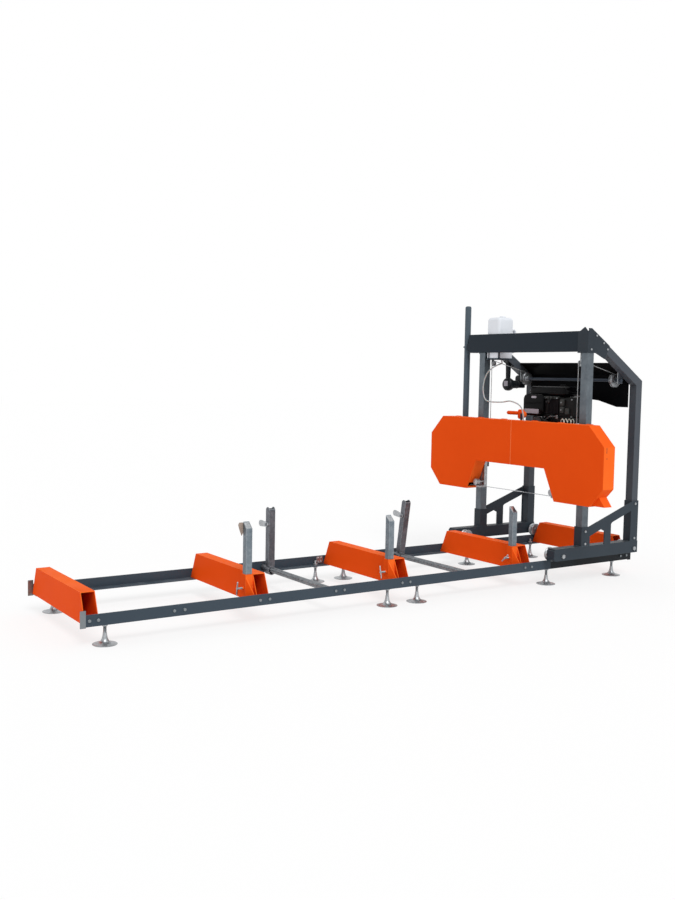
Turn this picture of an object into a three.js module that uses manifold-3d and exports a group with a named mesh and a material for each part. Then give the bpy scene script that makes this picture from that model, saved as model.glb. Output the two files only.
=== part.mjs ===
// A portable band sawmill: a track of two rails and five bunks on levelling feet,
// log stops and log clamps, and a wheeled carriage whose saw head slides on its front posts.
// Millimetres, +X along the track towards the carriage, +Y to the far rail, +Z up.
import * as THREE from 'three';
import { mergeVertices } from 'three/addons/utils/BufferGeometryUtils.js';
import Module from 'manifold-3d';

const wasm = await Module();
wasm.setup();

// Clearances
const seatGap = 0.3;
const runGap = 0.3;
const weldBite = 0.8;
const cutMargin = 10;
const pointMerge = 0.001;

// Track
const railLength = 4140;
const railHalf = railLength / 2;
const railOuterY = 453;
const railWall = 6;
const railHeight = 64;
const railFlange = 64;
const railBottomZ = 109;
const railTopZ = railBottomZ + railHeight;
const railMidZ = railBottomZ + railHeight / 2;
const railSeatZ = railBottomZ + railWall + seatGap;
const railInnerY = railOuterY - railWall;
const endStopReach = 30;
const endStopBite = 50;
const endStopDrop = 5;
const endStopRise = 23;
const railBoltRadius = 9.5;
const railBoltHeight = 6;
const railBoltSpread = 31;
const spareBoltShare1 = -0.745894;
const spareBoltShare2 = -0.238647;

// Bunks, rectangular tubes with bevelled ends
const bunkWidth = 80;
const bunkHalf = bunkWidth / 2;
const bunkWall = 4;
const bunkTopZ = 280;
const bunkTopHalf = 376;
const bunkBottomHalf = railInnerY - seatGap;
const bunkInset1 = 36;
const bunkInset5 = 51;
const bunkShare2 = -0.48889;
const bunkShare3 = 0.002415;
const bunkShare4 = 0.51111;
const bunkX1 = bunkInset1 - railHalf;
const bunkX2 = railHalf * bunkShare2;
const bunkX3 = railHalf * bunkShare3;
const bunkX4 = railHalf * bunkShare4;
const bunkX5 = railHalf - bunkInset5;

// Levelling feet
const footInset1 = 114;
const footInset5 = 141;
const footMiddle = 117;
const footShare4 = 0.609662;
const footX1 = footInset1 - railHalf;
const footX2 = -footMiddle;
const footX3 = footMiddle;
const footX4 = railHalf * footShare4;
const footX5 = railHalf - footInset5;
const footSetIn = 31;
const footY = railOuterY - footSetIn;
const footBaseRadius = 66;
const footRimHeight = 3;
const footSaucerRadius = 40;
const footSaucerZ = 8;
const footBellRadius = 20;
const footBellZ = 18;
const footNeckRadius = 13;
const footNeckZ = 38;
const footStemRadius = 9;
const footStemZ = 66;
const footTopZ = 146;
const nutRadius = 16;
const nutHeight = 11;
const footSegments = 12;

// Log stops: square posts in sockets on the bunks
const stopSize = 40;
const stopWall = 3;
const stopLength = 440;
const stopBevel = 38;
const stopY = -358;
const socketWall = 4.7;
const socketBore = stopSize + seatGap + seatGap;
const socketSize = socketBore + socketWall + socketWall;
const socketOffset = bunkHalf + socketSize / 2 - weldBite;
const gussetWall = 6;
const stopTop1 = 583;
const stopTop2 = 558;
const stopTop3 = 553;
const screwZ = 200;
const screwRadius = 6;
const screwBossRadius = 10;
const screwBossLength = 8;
const screwLength = 48;
const screwCollarRadius = 9;
const screwCollarLength = 7;
const screwBarRadius = 4.5;
const screwBarLength = 76;
const screwTurnDegrees1 = 8;
const screwTurnDegrees2 = -14;
const screwTurnDegrees3 = 48;

// Cross tubes and the log clamps that slide on them
const tubeRadius = 19;
const tubeWall = 4;
const tubeZ = railSeatZ + tubeRadius;
const tubeShare1 = -0.251208;
const tubeShare2 = 0.271981;
const tubeX1 = railHalf * tubeShare1;
const tubeX2 = railHalf * tubeShare2;
const tubeSegments = 20;
const sleeveBore = 24;
const sleeveRadius = 30;
const sleeveLength = 56;
const clampY = 352;
const clampSize = 46;
const clampWall = 4;
const clampTop = 553;
const clampLeanDegrees = 9;
const dogPivotZ = 437;
const dogReach = 78;
const dogLobe = 21;
const dogHub = 15;
const dogThickness = 10;
const dogPinRadius = 7;
const dogPinHead = 11;
const dogPinHeadHeight = 5;

// Carriage side frames
const postSize = 60;
const postHalf = postSize / 2;
const postWall = 4;
const postY = 528;
const parkInset = 583;
const frontPostX = 1487;
const rearPostX = 1997;
const frameTubeWall = 5;
const frameSize = postSize + seatGap + seatGap + frameTubeWall + frameTubeWall;
const frameHalf = frameSize / 2;
const frameOuterY = postY + frameHalf;
const frameInnerY = postY - frameHalf;
const sideBeamStart = 1192;
const sideBeamNose = 14;
const sideBeamCap = 6;
const sideBeamEnd = rearPostX + frameHalf + frameTubeWall;
const sideBeamBottom = 183;
const sideBeamTop = 268;
const frontSleeveTop = 404;
const rearSleeveTop = 562;
const sidePlate = 8;
const plateRiseStart = 402;
const plateRiseEnd = 556;
const window1Left = 1536;
const window1Right = 1684;
const window1Peak = 1648;
const window1LeftTop = 336;
const window1PeakTop = 378;
const window1RightTop = 362;
const window2Left = 1750;
const window2Turn = 1762;
const window2LeftTop = 408;
const window2TurnTop = 420;
const window2RightTop = 490;
const windowRim = 6;
const frameBoltRadius = 9.5;
const frameBoltHeight = 6;
const frontBoltLow = 285;
const frontBoltHigh = 372;
const rearBoltLow = 289;
const rearBoltHigh = 540;

// Carriage wheels, grooved to run on the rails' top edges
const wheelFrontX = 1276;
const wheelRearX = 2000;
const wheelTread = 40;
const wheelRadius = 48;
const wheelHalf = 20;
const wheelLipHalf = 13;
const wheelFloorHalf = 6;
const wheelCentreY = railOuterY - railWall / 2;
const axleZ = railTopZ + wheelTread + seatGap;
const axleRadius = 10;
const axleHeadRadius = 16;
const axleHeadHeight = 9;
const axleCollarRadius = 15;
const axleCollarLength = 4;
const wheelSegments = 20;

// Upper frame
const beamTop = 1768;
const beamHeight = 142;
const beamBottom = beamTop - beamHeight;
const beamWall = 5;
const beamFarEnd = 690;
const beamNearEnd = postY + postHalf + seatGap;
const braceRise = 339;
const braceFoot = beamTop - braceRise;
const lugPlate = 8;
const lugInner = 468;
const lugPeakY = 528;
const lugPeakRise = 26;
const lugShoulderDrop = 12;
const lugFootDrop = 10;
const lugPeakZ = beamTop + lugPeakRise;
const lugShoulderZ = beamTop - lugShoulderDrop;
const lugFootZ = beamBottom - lugFootDrop;
const sidePlateWall = 6;
const cornerFront = frontPostX - postHalf;
const cornerPeakX = 1484;
const cornerRise = 18;
const cornerBrace = 150;
const cornerBraceDrop = 92;
const cornerFootX = 1528;
const cornerBoltRadius = 8;
const cornerBoltHeight = 5;
const cornerBoltInset = 24;
const cornerBoltRise = 14;
const cornerBoltDrop = 32;
const cornerBoltReach = 64;

// Upright tube at the far end of the top beam
const uprightY = 741;
const uprightRadius = 24;
const uprightWall = 3;
const uprightCapHeight = 12;
const uprightCapRadius = 15;
const saddleRise = 48;
const saddleZ = beamBottom + saddleRise;
const saddleHalf = 22;
const uprightDrop = 664;
const uprightRise = 322;
const uprightBottom = saddleZ - uprightDrop;
const uprightTop = saddleZ + uprightRise;

// Water tank on a shelf behind the top beam
const tankFrontX = 1465;
const tankBackX = 1612;
const tankNearY = 351;
const tankFarY = 452;
const tankSink = 50;
const tankBottom = beamBottom - tankSink;
const tankHeight = 296;
const tankCorner = 20;
const tankShoulder = 14;
const tankCapRadius = 24;
const tankCapHeight = 20;
const tankSpoutRadius = 9;
const tankSpoutDrop = 16;
const tankHandle = 36;
const tankHandleHalf = 16;
const tankHandleDrop = 44;
const tankGripWidth = 14;
const shelfWall = 4;
const shelfMargin = 3;
const shelfRear = 30;
const shelfHanger = 9;
const cornerSteps = 4;

// Hood sheet over the lift shaft, between the braces
const hoodWall = 3;
const hoodFrontX = 1832;
const hoodFrontRise = 127;
const hoodFrontZ = braceFoot + hoodFrontRise;
const hoodLip = 14;
const hoodKneeX = 1958;
const hoodKneeRise = 41;
const hoodKneeZ = braceFoot + hoodKneeRise;
const hoodBackHeight = 234;
const hoodBottom = hoodKneeZ - hoodBackHeight;
const hoodArchRise = 52;
const hoodArchHalf = 430;
const hoodArchStep = 220;
const hoodArchShare = 0.8;
const hoodHalf = postY - postHalf - seatGap;

// Lift shaft, its cable drums, the winch and the lift cables
const liftX = 1862;
const liftRise = 1;
const liftZ = braceFoot + liftRise;
const liftRadius = 11;
const liftNearEnd = -512;
const liftFarEnd = 562;
const cableY = 464;
const drumY = cableY;
const drumHalf = 12;
const drumFloorHalf = 6;
const drumRadius = 50;
const drumFloor = 42;
const bearingWall = 6;
const bearingHalf = 24;
const bearingRise = 70;
const bearingTop = liftZ + bearingRise;
const winchFront = 1722;
const winchCapBack = 1748;
const winchCapRadius = 38;
const winchBodyRadius = 30;
const winchDrop = 46;
const winchZ = liftZ - winchDrop;
const winchBodyBack = 1828;
const wormFront = 1826;
const wormBack = 1898;
const wormHalf = 27;
const wormRise = 24;
const wormSink = 28;
const wormTop = winchZ + wormRise;
const wormBottom = winchZ - wormSink;
const wormRing = 27;
const strutFront = 1718;
const strutBack = 1752;
const strutHalf = 15;
const strutPlate = 6;
const strutPlateReach = 16;
const handleHubRadius = 13;
const handleHubBack = 1920;
const cableRadius = 3;
const cableSides = 8;

// Saw head
const guardHalf = 900;
const bladeWheelInset = 272;
const bladeWheelY = guardHalf - bladeWheelInset;
const bladeWheelZ = 855;
const bladeWheelRadius = 241.3;
const bladeWheelX = 1322;
const bladeWheelHalf = 17;
const rimInner = 227;
const webHalf = 5;
const hubRadius = 45;
const hubHalf = 24;
const wheelShaft = 15;
const webHoleRadius = 52;
const webHoleCircle = 136;
const webHoleCount = 5;
const bladeWheelSegments = 32;
const farShaftEnd = 1462;
const pulleyStart = 1537;
const pulleyWidth = 30;
const pulleyFlange = 4;
const beltRadiusHead = 66;
const pulleyLip = 8;
const beltArcSteps = 14;
const bladeThickness = 1.3;
const bladeWidth = 34;
const bladeTooth = 9;
const toothPitch = 32;
const toothShare = 0.55;
const bladeArcSteps = 18;

const guardFront = 1271;
const guardBack = 1371.7;
const guardWall = 3;
const guardTopInset = 139;
const guardTopHalf = guardHalf - guardTopInset;
const guardTop = 1127;
const guardShoulder = 989;
const guardKnee = 708;
const guardBottomInset = 118;
const guardBottomHalf = guardHalf - guardBottomInset;
const guardBottom = 583;
const notchTopInset = 542;
const notchBottomInset = 438;
const notchTopHalf = guardHalf - notchTopInset;
const notchBottomHalf = guardHalf - notchBottomInset;
const notchTop = 805;
const guardSeam = -14;
const guardSeamGap = 1.6;
const bladeSlotHalf = 14;
const backPlateFront = guardBack + seatGap;
const backPlateBack = backPlateFront + guardWall;
const shaftHole = 24;
const chuteFront = 1295;
const chuteBack = 1366;
const chuteTopInset = 50.8;
const chuteTop = 655.8;
const chuteMouthInset = 1.5;
const chuteMouth = 590;
const chuteRootInset = 112.8;
const chuteRoot = 589.8;
const chuteWall = 2.5;
const guardDepthShare = 4;

const headBeamFront = backPlateBack + seatGap;
const headBeamInset = 180;
const headBeamHalf = guardHalf - headBeamInset;
const headBeamBottom = 812;
const headBeamTop = 912;
const headBeamWall = 5;
const headSleeveWall = 7.5;
const headSleeveBottom = 740;
const headSleeveTop = 985;
const headSleeveHalf = postHalf + seatGap + headSleeveWall;
const headBeamBack = frontPostX - headSleeveHalf + weldBite;
const engineDeckFront = 1574;
const engineDeckBack = 1812;
const engineDeckNear = -170;
const engineDeckFar = 205;
const engineDeckTop = 995;
const engineDeckWall = 10;
const gussetNearY = -84;
const gussetFarY = 150;
const gussetThickness = 8;
const gussetFootZ = 822;
const cableLugHalf = 12;
const cableLugHeight = 20;
const cableLugTop = 906;
const cableLugBack = frontPostX + 12;

// Blade guides
const guideInset = 232;
const guideY = bladeWheelY - guideInset;
const guideRadius = 24;
const guideHalf = 15;
const guideArmHalf = 14;
const guideArmFront = 1382;
const guideArmBack = 1410;
const guideSpindle = 9;
const guideShoeDrop = 16;
const guideShoeHalf = 20;
const guideShoeFront = 1344;
const guideSaddleHeight = 10;
const guideSaddleHalf = 34;
const guideSegments = 16;

// Engine
const crankZ = 1101;
const crankRadius = 12.5;
const enginePulleyRadius = 50;
const engineCaseFront = 1592;
const engineCaseBack = 1762;
const engineCaseHalf = 108;
const engineCaseTop = 1178;
const engineFeetHalf = 118;
const engineFeetHeight = 16;
const blowerRadius = 138;
const blowerBack = 1812;
const blowerRim = 118;
const finCount = 7;
const finPitch = 18;
const finWall = 6;
const finFront = 1600;
const finBack = 1748;
const finNear = -78;
const finFar = finNear + finCount * finPitch;
const finCore = 16;
const finHeight = 102;
const cylinderHeadWall = 22;
const airBoxFront = 1596;
const airBoxBack = 1744;
const airBoxNear = 44;
const airBoxFar = 186;
const airBoxBottom = 1150;
const airBoxTop = 1324;
const airBoxRound = 46;
const mufflerFront = 1604;
const mufflerBack = 1740;
const mufflerNear = -226;
const mufflerFar = -66;
const mufflerBottom = 1156;
const mufflerTop = 1294;
const fuelFront = 1612;
const fuelBack = 1800;
const fuelNear = -206;
const fuelFar = 160;
const fuelTop = 1378;
const fuelRound = 28;
const fuelCapRadius = 26;
const fuelCapHeight = 14;
const blowerSegments = 24;

// Clutch lever
const leverX = 1430;
const leverY = 30;
const leverZ = 1166;
const leverHub = 21;
const leverHubHalf = 12;
const leverBarRadius = 11;
const leverBarRise = 18;
const leverReach = 168;
const leverPostHalf = 9;
const leverPostThickness = 8;
const leverPinRadius = 7;

// Water hose from the tank to the head
const hoseRadius = 5;
const hoseSides = 8;
const hoseSteps = 56;
const hoseStartX = 1552;
const hoseStartY = 408;
const hoseDropZ = 1545;
const hoseSwingX = 1497;
const hoseSwingY = 396;
const hoseSwingZ = 1531;
const hoseReachX = 1448;
const hoseReachY = 410;
const hoseReachZ = 1502;
const hoseBowX = 1440;
const hoseBowY = 454;
const hoseBowZ = 1456;
const hoseSideX = 1440;
const hoseSideY = 484;
const hoseSideZ = 1385;
const hoseDipX = 1440;
const hoseDipY = 482;
const hoseDipZ = 1310;
const hoseLowX = 1434;
const hoseLowY = 430;
const hoseLowZ = 1255;
const hoseLevelX = 1412;
const hoseLevelY = 250;
const hoseLevelZ = 1251;
const hoseCrestX = 1400;
const hoseCrestY = 130;
const hoseCrestZ = 1261;
const hoseFallX = 1397;
const hoseFallY = 15;
const hoseFallZ = 1216;
const hoseEndX = 1397;
const hoseEndY = -16;
const hoseRiseZ = 1080;
const hoseFootZ = 940;
const bossRadius = 10;
const bossHeight = 12;

const lowerFrame = new THREE.MeshStandardMaterial({ color: 0x46545f, roughness: 0.55, metalness: 0.2 });
const upperFrame = new THREE.MeshStandardMaterial({ color: 0x25323b, roughness: 0.5, metalness: 0.2 });
const orangePaint = new THREE.MeshStandardMaterial({ color: 0xe0521a, roughness: 0.45, metalness: 0.1 });
const zincPlate = new THREE.MeshStandardMaterial({ color: 0x9aa3a8, roughness: 0.4, metalness: 0.8 });
const greyTube = new THREE.MeshStandardMaterial({ color: 0x6c7275, roughness: 0.45, metalness: 0.6 });
const castIron = new THREE.MeshStandardMaterial({ color: 0x5a5d60, roughness: 0.6, metalness: 0.6 });
const bladeSteel = new THREE.MeshStandardMaterial({ color: 0xb9bfc4, roughness: 0.3, metalness: 0.9 });
const blackParts = new THREE.MeshStandardMaterial({ color: 0x141517, roughness: 0.6, metalness: 0.1 });
const whiteTank = new THREE.MeshStandardMaterial({ color: 0xe9ecee, roughness: 0.5, metalness: 0 });
const rubberBelt = new THREE.MeshStandardMaterial({ color: 0x1b1b1b, roughness: 0.9, metalness: 0 });
const clearHose = new THREE.MeshStandardMaterial({ color: 0xd7d9d6, roughness: 0.4, metalness: 0 });

const alongX = new THREE.Matrix4().makeBasis(
  new THREE.Vector3(0, 1, 0),
  new THREE.Vector3(0, 0, 1),
  new THREE.Vector3(1, 0, 0),
);
const alongY = new THREE.Matrix4().makeBasis(
  new THREE.Vector3(1, 0, 0),
  new THREE.Vector3(0, 0, 1),
  new THREE.Vector3(0, -1, 0),
);
const alongZ = new THREE.Matrix4();

// A closed geometry as a solid that can be joined and cut.
function solidOf(geometry) {
  const bare = geometry.index ? geometry.toNonIndexed() : geometry.clone();
  bare.deleteAttribute('normal');
  bare.deleteAttribute('uv');
  const merged = mergeVertices(bare, pointMerge);
  const corners = merged.index.array;
  const faces = [];
  for (let i = 0; i < corners.length; i += 3) {
    const [a, b, c] = [corners[i], corners[i + 1], corners[i + 2]];
    if (a !== b && b !== c && c !== a) faces.push(a, b, c);
  }
  return new wasm.Manifold(new wasm.Mesh({
    numProp: 3,
    vertProperties: Float32Array.from(merged.attributes.position.array),
    triVerts: Uint32Array.from(faces),
  }));
}

// A named mesh from a solid, with flat shaded faces.
function part(name, solid, material) {
  const mesh = solid.getMesh();
  const geometry = new THREE.BufferGeometry();
  geometry.setAttribute('position', new THREE.BufferAttribute(mesh.vertProperties, 3));
  geometry.setIndex(new THREE.BufferAttribute(mesh.triVerts, 1));
  const flat = geometry.toNonIndexed();
  flat.computeVertexNormals();
  const made = new THREE.Mesh(flat, material);
  made.name = name;
  return made;
}

function join(...solids) {
  return solids.reduce((whole, next) => whole.add(next));
}

function cut(solid, ...tools) {
  return tools.reduce((rest, tool) => rest.subtract(tool), solid);
}

// A box between two limits on each axis.
function block(fromX, toX, fromY, toY, fromZ, toZ) {
  const box = new THREE.BoxGeometry(Math.abs(toX - fromX), Math.abs(toY - fromY), Math.abs(toZ - fromZ));
  box.translate((fromX + toX) / 2, (fromY + toY) / 2, (fromZ + toZ) / 2);
  return solidOf(box);
}

function shapeOf(outline) {
  return new THREE.Shape(outline.map(([a, b]) => new THREE.Vector2(a, b)));
}

// An outline pushed along X, given in Y and Z.
function prismX(outline, fromX, toX) {
  const geometry = new THREE.ExtrudeGeometry(shapeOf(outline), { depth: toX - fromX, bevelEnabled: false });
  geometry.applyMatrix4(alongX);
  geometry.translate(fromX, 0, 0);
  return solidOf(geometry);
}

// An outline pushed along Y, given in X and Z.
function prismY(outline, fromY, toY) {
  const geometry = new THREE.ExtrudeGeometry(shapeOf(outline), { depth: toY - fromY, bevelEnabled: false });
  geometry.applyMatrix4(alongY);
  geometry.translate(0, toY, 0);
  return solidOf(geometry);
}

// An outline pushed along Z, given in X and Y.
function prismZ(outline, fromZ, toZ) {
  const geometry = new THREE.ExtrudeGeometry(shapeOf(outline), { depth: toZ - fromZ, bevelEnabled: false });
  geometry.translate(0, 0, fromZ);
  return solidOf(geometry);
}

// A profile of radius and distance turned about an axis through a point.
function turned(profile, axis, segments, x, y, z) {
  const points = profile.map(([radius, distance]) => new THREE.Vector2(radius, distance));
  const geometry = new THREE.LatheGeometry(points, segments);
  geometry.rotateX(Math.PI / 2);
  geometry.applyMatrix4(axis);
  geometry.translate(x, y, z);
  return solidOf(geometry);
}

function rod(radius, axis, from, to, segments, x, y, z) {
  return turned([[0, from], [radius, from], [radius, to], [0, to]], axis, segments, x, y, z);
}

const alongYForward = new THREE.Matrix4().makeBasis(
  new THREE.Vector3(-1, 0, 0),
  new THREE.Vector3(0, 0, 1),
  new THREE.Vector3(0, 1, 0),
);

function rodX(radius, fromX, toX, segments, y, z) {
  return rod(radius, alongX, fromX, toX, segments, 0, y, z);
}

function rodY(radius, fromY, toY, segments, x, z) {
  return rod(radius, alongYForward, Math.min(fromY, toY), Math.max(fromY, toY), segments, x, 0, z);
}

function rodZ(radius, fromZ, toZ, segments, x, y) {
  return rod(radius, alongZ, fromZ, toZ, segments, x, y, 0);
}

// A rectangular tube along Z.
function tubeAlongZ(x, y, size, wall, fromZ, toZ) {
  const outer = size / 2;
  const inner = outer - wall;
  return cut(
    block(x - outer, x + outer, y - outer, y + outer, fromZ, toZ),
    block(x - inner, x + inner, y - inner, y + inner, fromZ - cutMargin, toZ + cutMargin),
  );
}

// A rectangle with rounded corners, as an outline.
function roundedOutline(fromA, toA, fromB, toB, radius, steps) {
  const quarter = Math.PI / 2;
  const centres = [
    [toA - radius, fromB + radius, -quarter],
    [toA - radius, toB - radius, 0],
    [fromA + radius, toB - radius, quarter],
    [fromA + radius, fromB + radius, Math.PI],
  ];
  return centres.flatMap(([a, b, start]) => Array.from({ length: steps + 1 }, (_, i) => {
    const angle = start + (quarter * i) / steps;
    return [a + radius * Math.cos(angle), b + radius * Math.sin(angle)];
  }));
}

function movedInward(outline, distance) {
  const count = outline.length;
  const edges = outline.map(([a, b], i) => {
    const [c, d] = outline[(i + 1) % count];
    const length = Math.hypot(c - a, d - b);
    const normal = [-(d - b) / length, (c - a) / length];
    return { point: [a + normal[0] * distance, b + normal[1] * distance], along: [c - a, d - b] };
  });
  return edges.map((edge, i) => {
    const before = edges[(i + count - 1) % count];
    const cross = before.along[0] * edge.along[1] - before.along[1] * edge.along[0];
    const gapA = edge.point[0] - before.point[0];
    const gapB = edge.point[1] - before.point[1];
    const share = (gapA * edge.along[1] - gapB * edge.along[0]) / cross;
    return [before.point[0] + before.along[0] * share, before.point[1] + before.along[1] * share];
  });
}

// The corner radius of a half turn in flat steps that clears a given radius.
function flatSided(radius, steps) {
  return radius / Math.cos(Math.PI / (steps + steps));
}

const bladeInner = flatSided(bladeWheelRadius + seatGap, bladeArcSteps);
const bladeOuter = bladeInner + bladeThickness;

// A belt's or a blade's outline around two wheels, given in Y and Z.
function loopOutline(nearY, nearZ, nearRadius, farY, farZ, farRadius, steps) {
  const run = Math.hypot(farY - nearY, farZ - nearZ);
  const heading = Math.atan2(farZ - nearZ, farY - nearY);
  const spread = Math.acos((nearRadius - farRadius) / run);
  const nearArc = Array.from({ length: steps + 1 }, (_, i) => {
    const angle = heading + spread + ((2 * Math.PI - 2 * spread) * i) / steps;
    return [nearY + nearRadius * Math.cos(angle), nearZ + nearRadius * Math.sin(angle)];
  });
  const farArc = Array.from({ length: steps + 1 }, (_, i) => {
    const angle = heading - spread + (2 * spread * i) / steps;
    return [farY + farRadius * Math.cos(angle), farZ + farRadius * Math.sin(angle)];
  });
  return [...nearArc, ...farArc];
}

// One rail: an angle section with a stop tab past each end and the bunks' bolt heads.
function rail(name, side) {
  const outer = side * railOuterY;
  const inner = side * railInnerY;
  const lip = side * (railOuterY - railFlange);
  const bottom = railBottomZ;
  const step = railBottomZ + railWall;
  const section = [
    [outer, bottom],
    [outer, railTopZ],
    [inner, railTopZ],
    [inner, step],
    [lip, step],
    [lip, bottom],
  ];
  let solid = prismX(side > 0 ? section : section.reverse(), -railHalf, railHalf);
  const tabLow = railBottomZ - endStopDrop;
  const tabHigh = railTopZ + endStopRise;
  for (const end of [-1, 1]) {
    const past = end * (railHalf + endStopReach);
    const root = end * (railHalf - weldBite);
    solid = join(solid, block(past, root, inner, outer, tabLow, tabHigh));
  }
  const spares = [railHalf * spareBoltShare1, railHalf * spareBoltShare2];
  for (const pairX of [bunkX1, bunkX2, bunkX3, bunkX4, bunkX5, ...spares]) {
    for (const offset of [-railBoltSpread, railBoltSpread]) {
      const boltX = Math.min(Math.max(pairX + offset, endStopBite - railHalf - railBoltSpread), railHalf);
      const face = side * (railOuterY - weldBite);
      const head = side * (railOuterY + railBoltHeight);
      solid = join(solid, rodY(railBoltRadius, face, head, 6, boltX, railMidZ));
    }
  }
  for (const footX of [footX1, footX2, footX3, footX4, footX5]) {
    const hole = footStemRadius + runGap;
    solid = cut(
      solid,
      rodZ(hole, railBottomZ - cutMargin, step + cutMargin, footSegments, footX, side * footY),
    );
  }
  return part(name, solid, lowerFrame);
}

// The side outline of a bunk in Y and Z.
function bunkOutline() {
  const low = railSeatZ;
  const half = bunkBottomHalf;
  return [[-half, low], [half, low], [bunkTopHalf, bunkTopZ], [-bunkTopHalf, bunkTopZ]];
}

// A bunk that lies on the rails' flanges.
function bunkTube(bunkX) {
  const inner = bunkHalf - bunkWall;
  const reach = bunkBottomHalf + cutMargin;
  return cut(
    prismX(bunkOutline(), bunkX - bunkHalf, bunkX + bunkHalf),
    block(bunkX - inner, bunkX + inner, -reach, reach, railSeatZ + bunkWall, bunkTopZ - bunkWall),
  );
}

function plainBunk(name, bunkX) {
  return part(name, bunkTube(bunkX), orangePaint);
}

// A bunk with the square socket, gusset and screw boss of a log stop on its outer side.
function stopBunk(name, bunkX) {
  const socketX = bunkX - socketOffset;
  const half = socketSize / 2;
  const bore = socketBore / 2;
  const face = socketX - half;
  const low = railSeatZ;
  const socket = block(face, socketX + half, stopY - half, stopY + half, low, bunkTopZ);
  const front = stopY - half;
  const root = bunkX - bunkHalf + weldBite;
  const sheet = [
    [face, front + weldBite],
    [root, -bunkBottomHalf],
    [root, gussetWall - bunkBottomHalf],
    [face + gussetWall, front + weldBite],
  ];
  const gusset = prismZ(sheet, low, bunkTopZ).intersect(prismX(bunkOutline(), face - cutMargin, bunkX));
  const boss = rodX(screwBossRadius, face - screwBossLength, face + weldBite, 12, stopY, screwZ);
  const hole = rodX(screwRadius + runGap, face - screwBossLength - cutMargin, socketX, 12, stopY, screwZ);
  const shaft = block(
    socketX - bore,
    socketX + bore,
    stopY - bore,
    stopY + bore,
    low - cutMargin,
    bunkTopZ + cutMargin,
  );
  return part(name, cut(join(bunkTube(bunkX), socket, gusset, boss), shaft, hole), orangePaint);
}

// A square stop post with its top cut on a slope.
function stopPost(name, bunkX, topZ) {
  const postX = bunkX - socketOffset;
  const half = stopSize / 2;
  const inner = half - stopWall;
  const low = topZ - stopLength;
  const outline = [
    [stopY - half, low],
    [stopY + half, low],
    [stopY + half, topZ],
    [stopY - half, topZ - stopBevel],
  ];
  const solid = cut(
    prismX(outline, postX - half, postX + half),
    block(postX - inner, postX + inner, stopY - inner, stopY + inner, low - cutMargin, topZ + cutMargin),
  );
  return part(name, solid, zincPlate);
}

// The T screw that holds a stop post in its socket.
function stopScrew(name, bunkX, turnDegrees) {
  const tip = bunkX - socketOffset - stopSize / 2 - seatGap;
  const end = tip - screwLength;
  const shank = rodX(screwRadius, end, tip, 12, 0, 0);
  const collar = rodX(screwCollarRadius, end, end + screwCollarLength, 12, 0, 0);
  const bar = rodZ(
    screwBarRadius,
    -screwBarLength / 2,
    screwBarLength / 2,
    10,
    end + screwCollarLength / 2,
    0,
  );
  const mesh = part(name, join(shank, collar, bar), zincPlate);
  mesh.position.set(0, stopY, screwZ);
  mesh.rotation.x = THREE.MathUtils.degToRad(turnDegrees);
  return mesh;
}

function crossTube(name, tubeX) {
  const half = bunkBottomHalf;
  const solid = cut(
    rodY(tubeRadius, -half, half, tubeSegments, tubeX, tubeZ),
    rodY(tubeRadius - tubeWall, -half - cutMargin, half + cutMargin, tubeSegments, tubeX, tubeZ),
  );
  return part(name, solid, greyTube);
}

// A levelling foot: a bell shaped saucer and a threaded stem with its two nuts.
function foot(name, footX, side) {
  const profile = [
    [0, 0],
    [footBaseRadius, 0],
    [footBaseRadius, footRimHeight],
    [footSaucerRadius, footSaucerZ],
    [footBellRadius, footBellZ],
    [footNeckRadius, footNeckZ],
    [footStemRadius, footStemZ],
    [footStemRadius, footTopZ],
    [0, footTopZ],
  ];
  const y = side * footY;
  const stem = turned(profile, alongZ, footSegments, footX, y, 0);
  const lower = railBottomZ - seatGap;
  const upper = railSeatZ;
  const lowerNut = rodZ(nutRadius, lower - nutHeight, lower, 6, footX, y);
  const upperNut = rodZ(nutRadius, upper, upper + nutHeight, 6, footX, y);
  return part(name, join(stem, lowerNut, upperNut), zincPlate);
}

// A clamp's post on the loose sleeve that slides along its cross tube, about the tube's centre.
function clampSolid(sleeveZ) {
  const half = clampSize / 2;
  const inner = half - clampWall;
  const low = sleeveZ + sleeveBore + clampWall;
  const top = clampTop - tubeZ;
  const arch = Array.from({ length: cornerSteps + cornerSteps + 1 }, (_, i) => {
    const angle = (Math.PI * i) / (cornerSteps + cornerSteps);
    return [half * Math.cos(angle), top - half + half * Math.sin(angle)];
  });
  const outline = [[-half, low], [half, low], ...arch];
  const post = cut(
    prismX(outline, -half, half),
    block(-inner, inner, -inner, inner, low + clampWall, top + cutMargin),
  );
  const sleeve = rodY(sleeveRadius, -sleeveLength / 2, sleeveLength / 2, tubeSegments, 0, sleeveZ);
  const reach = sleeveLength / 2 + cutMargin;
  const bore = rodY(sleeveBore, -reach, reach, tubeSegments, 0, sleeveZ);
  const pinFace = -half - seatGap - dogThickness - seatGap;
  const pivotZ = dogPivotZ - tubeZ;
  const pin = rodX(dogPinRadius, pinFace - weldBite, weldBite - half, 12, 0, pivotZ);
  const head = rodX(dogPinHead, pinFace - dogPinHeadHeight, pinFace, 6, 0, pivotZ);
  return join(cut(join(post, sleeve), bore), pin, head);
}

// The cam dog that grips a log, swung back from it.
function dogSolid() {
  const pivotZ = dogPivotZ - tubeZ;
  const outline = loopOutline(0, pivotZ, dogHub, dogReach, pivotZ, dogLobe, cornerSteps + cornerSteps);
  const face = -clampSize / 2 - seatGap;
  return cut(
    prismX(outline, face - dogThickness, face),
    rodX(dogPinRadius + runGap, face - dogThickness - cutMargin, face + cutMargin, 12, 0, pivotZ),
  );
}

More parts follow.
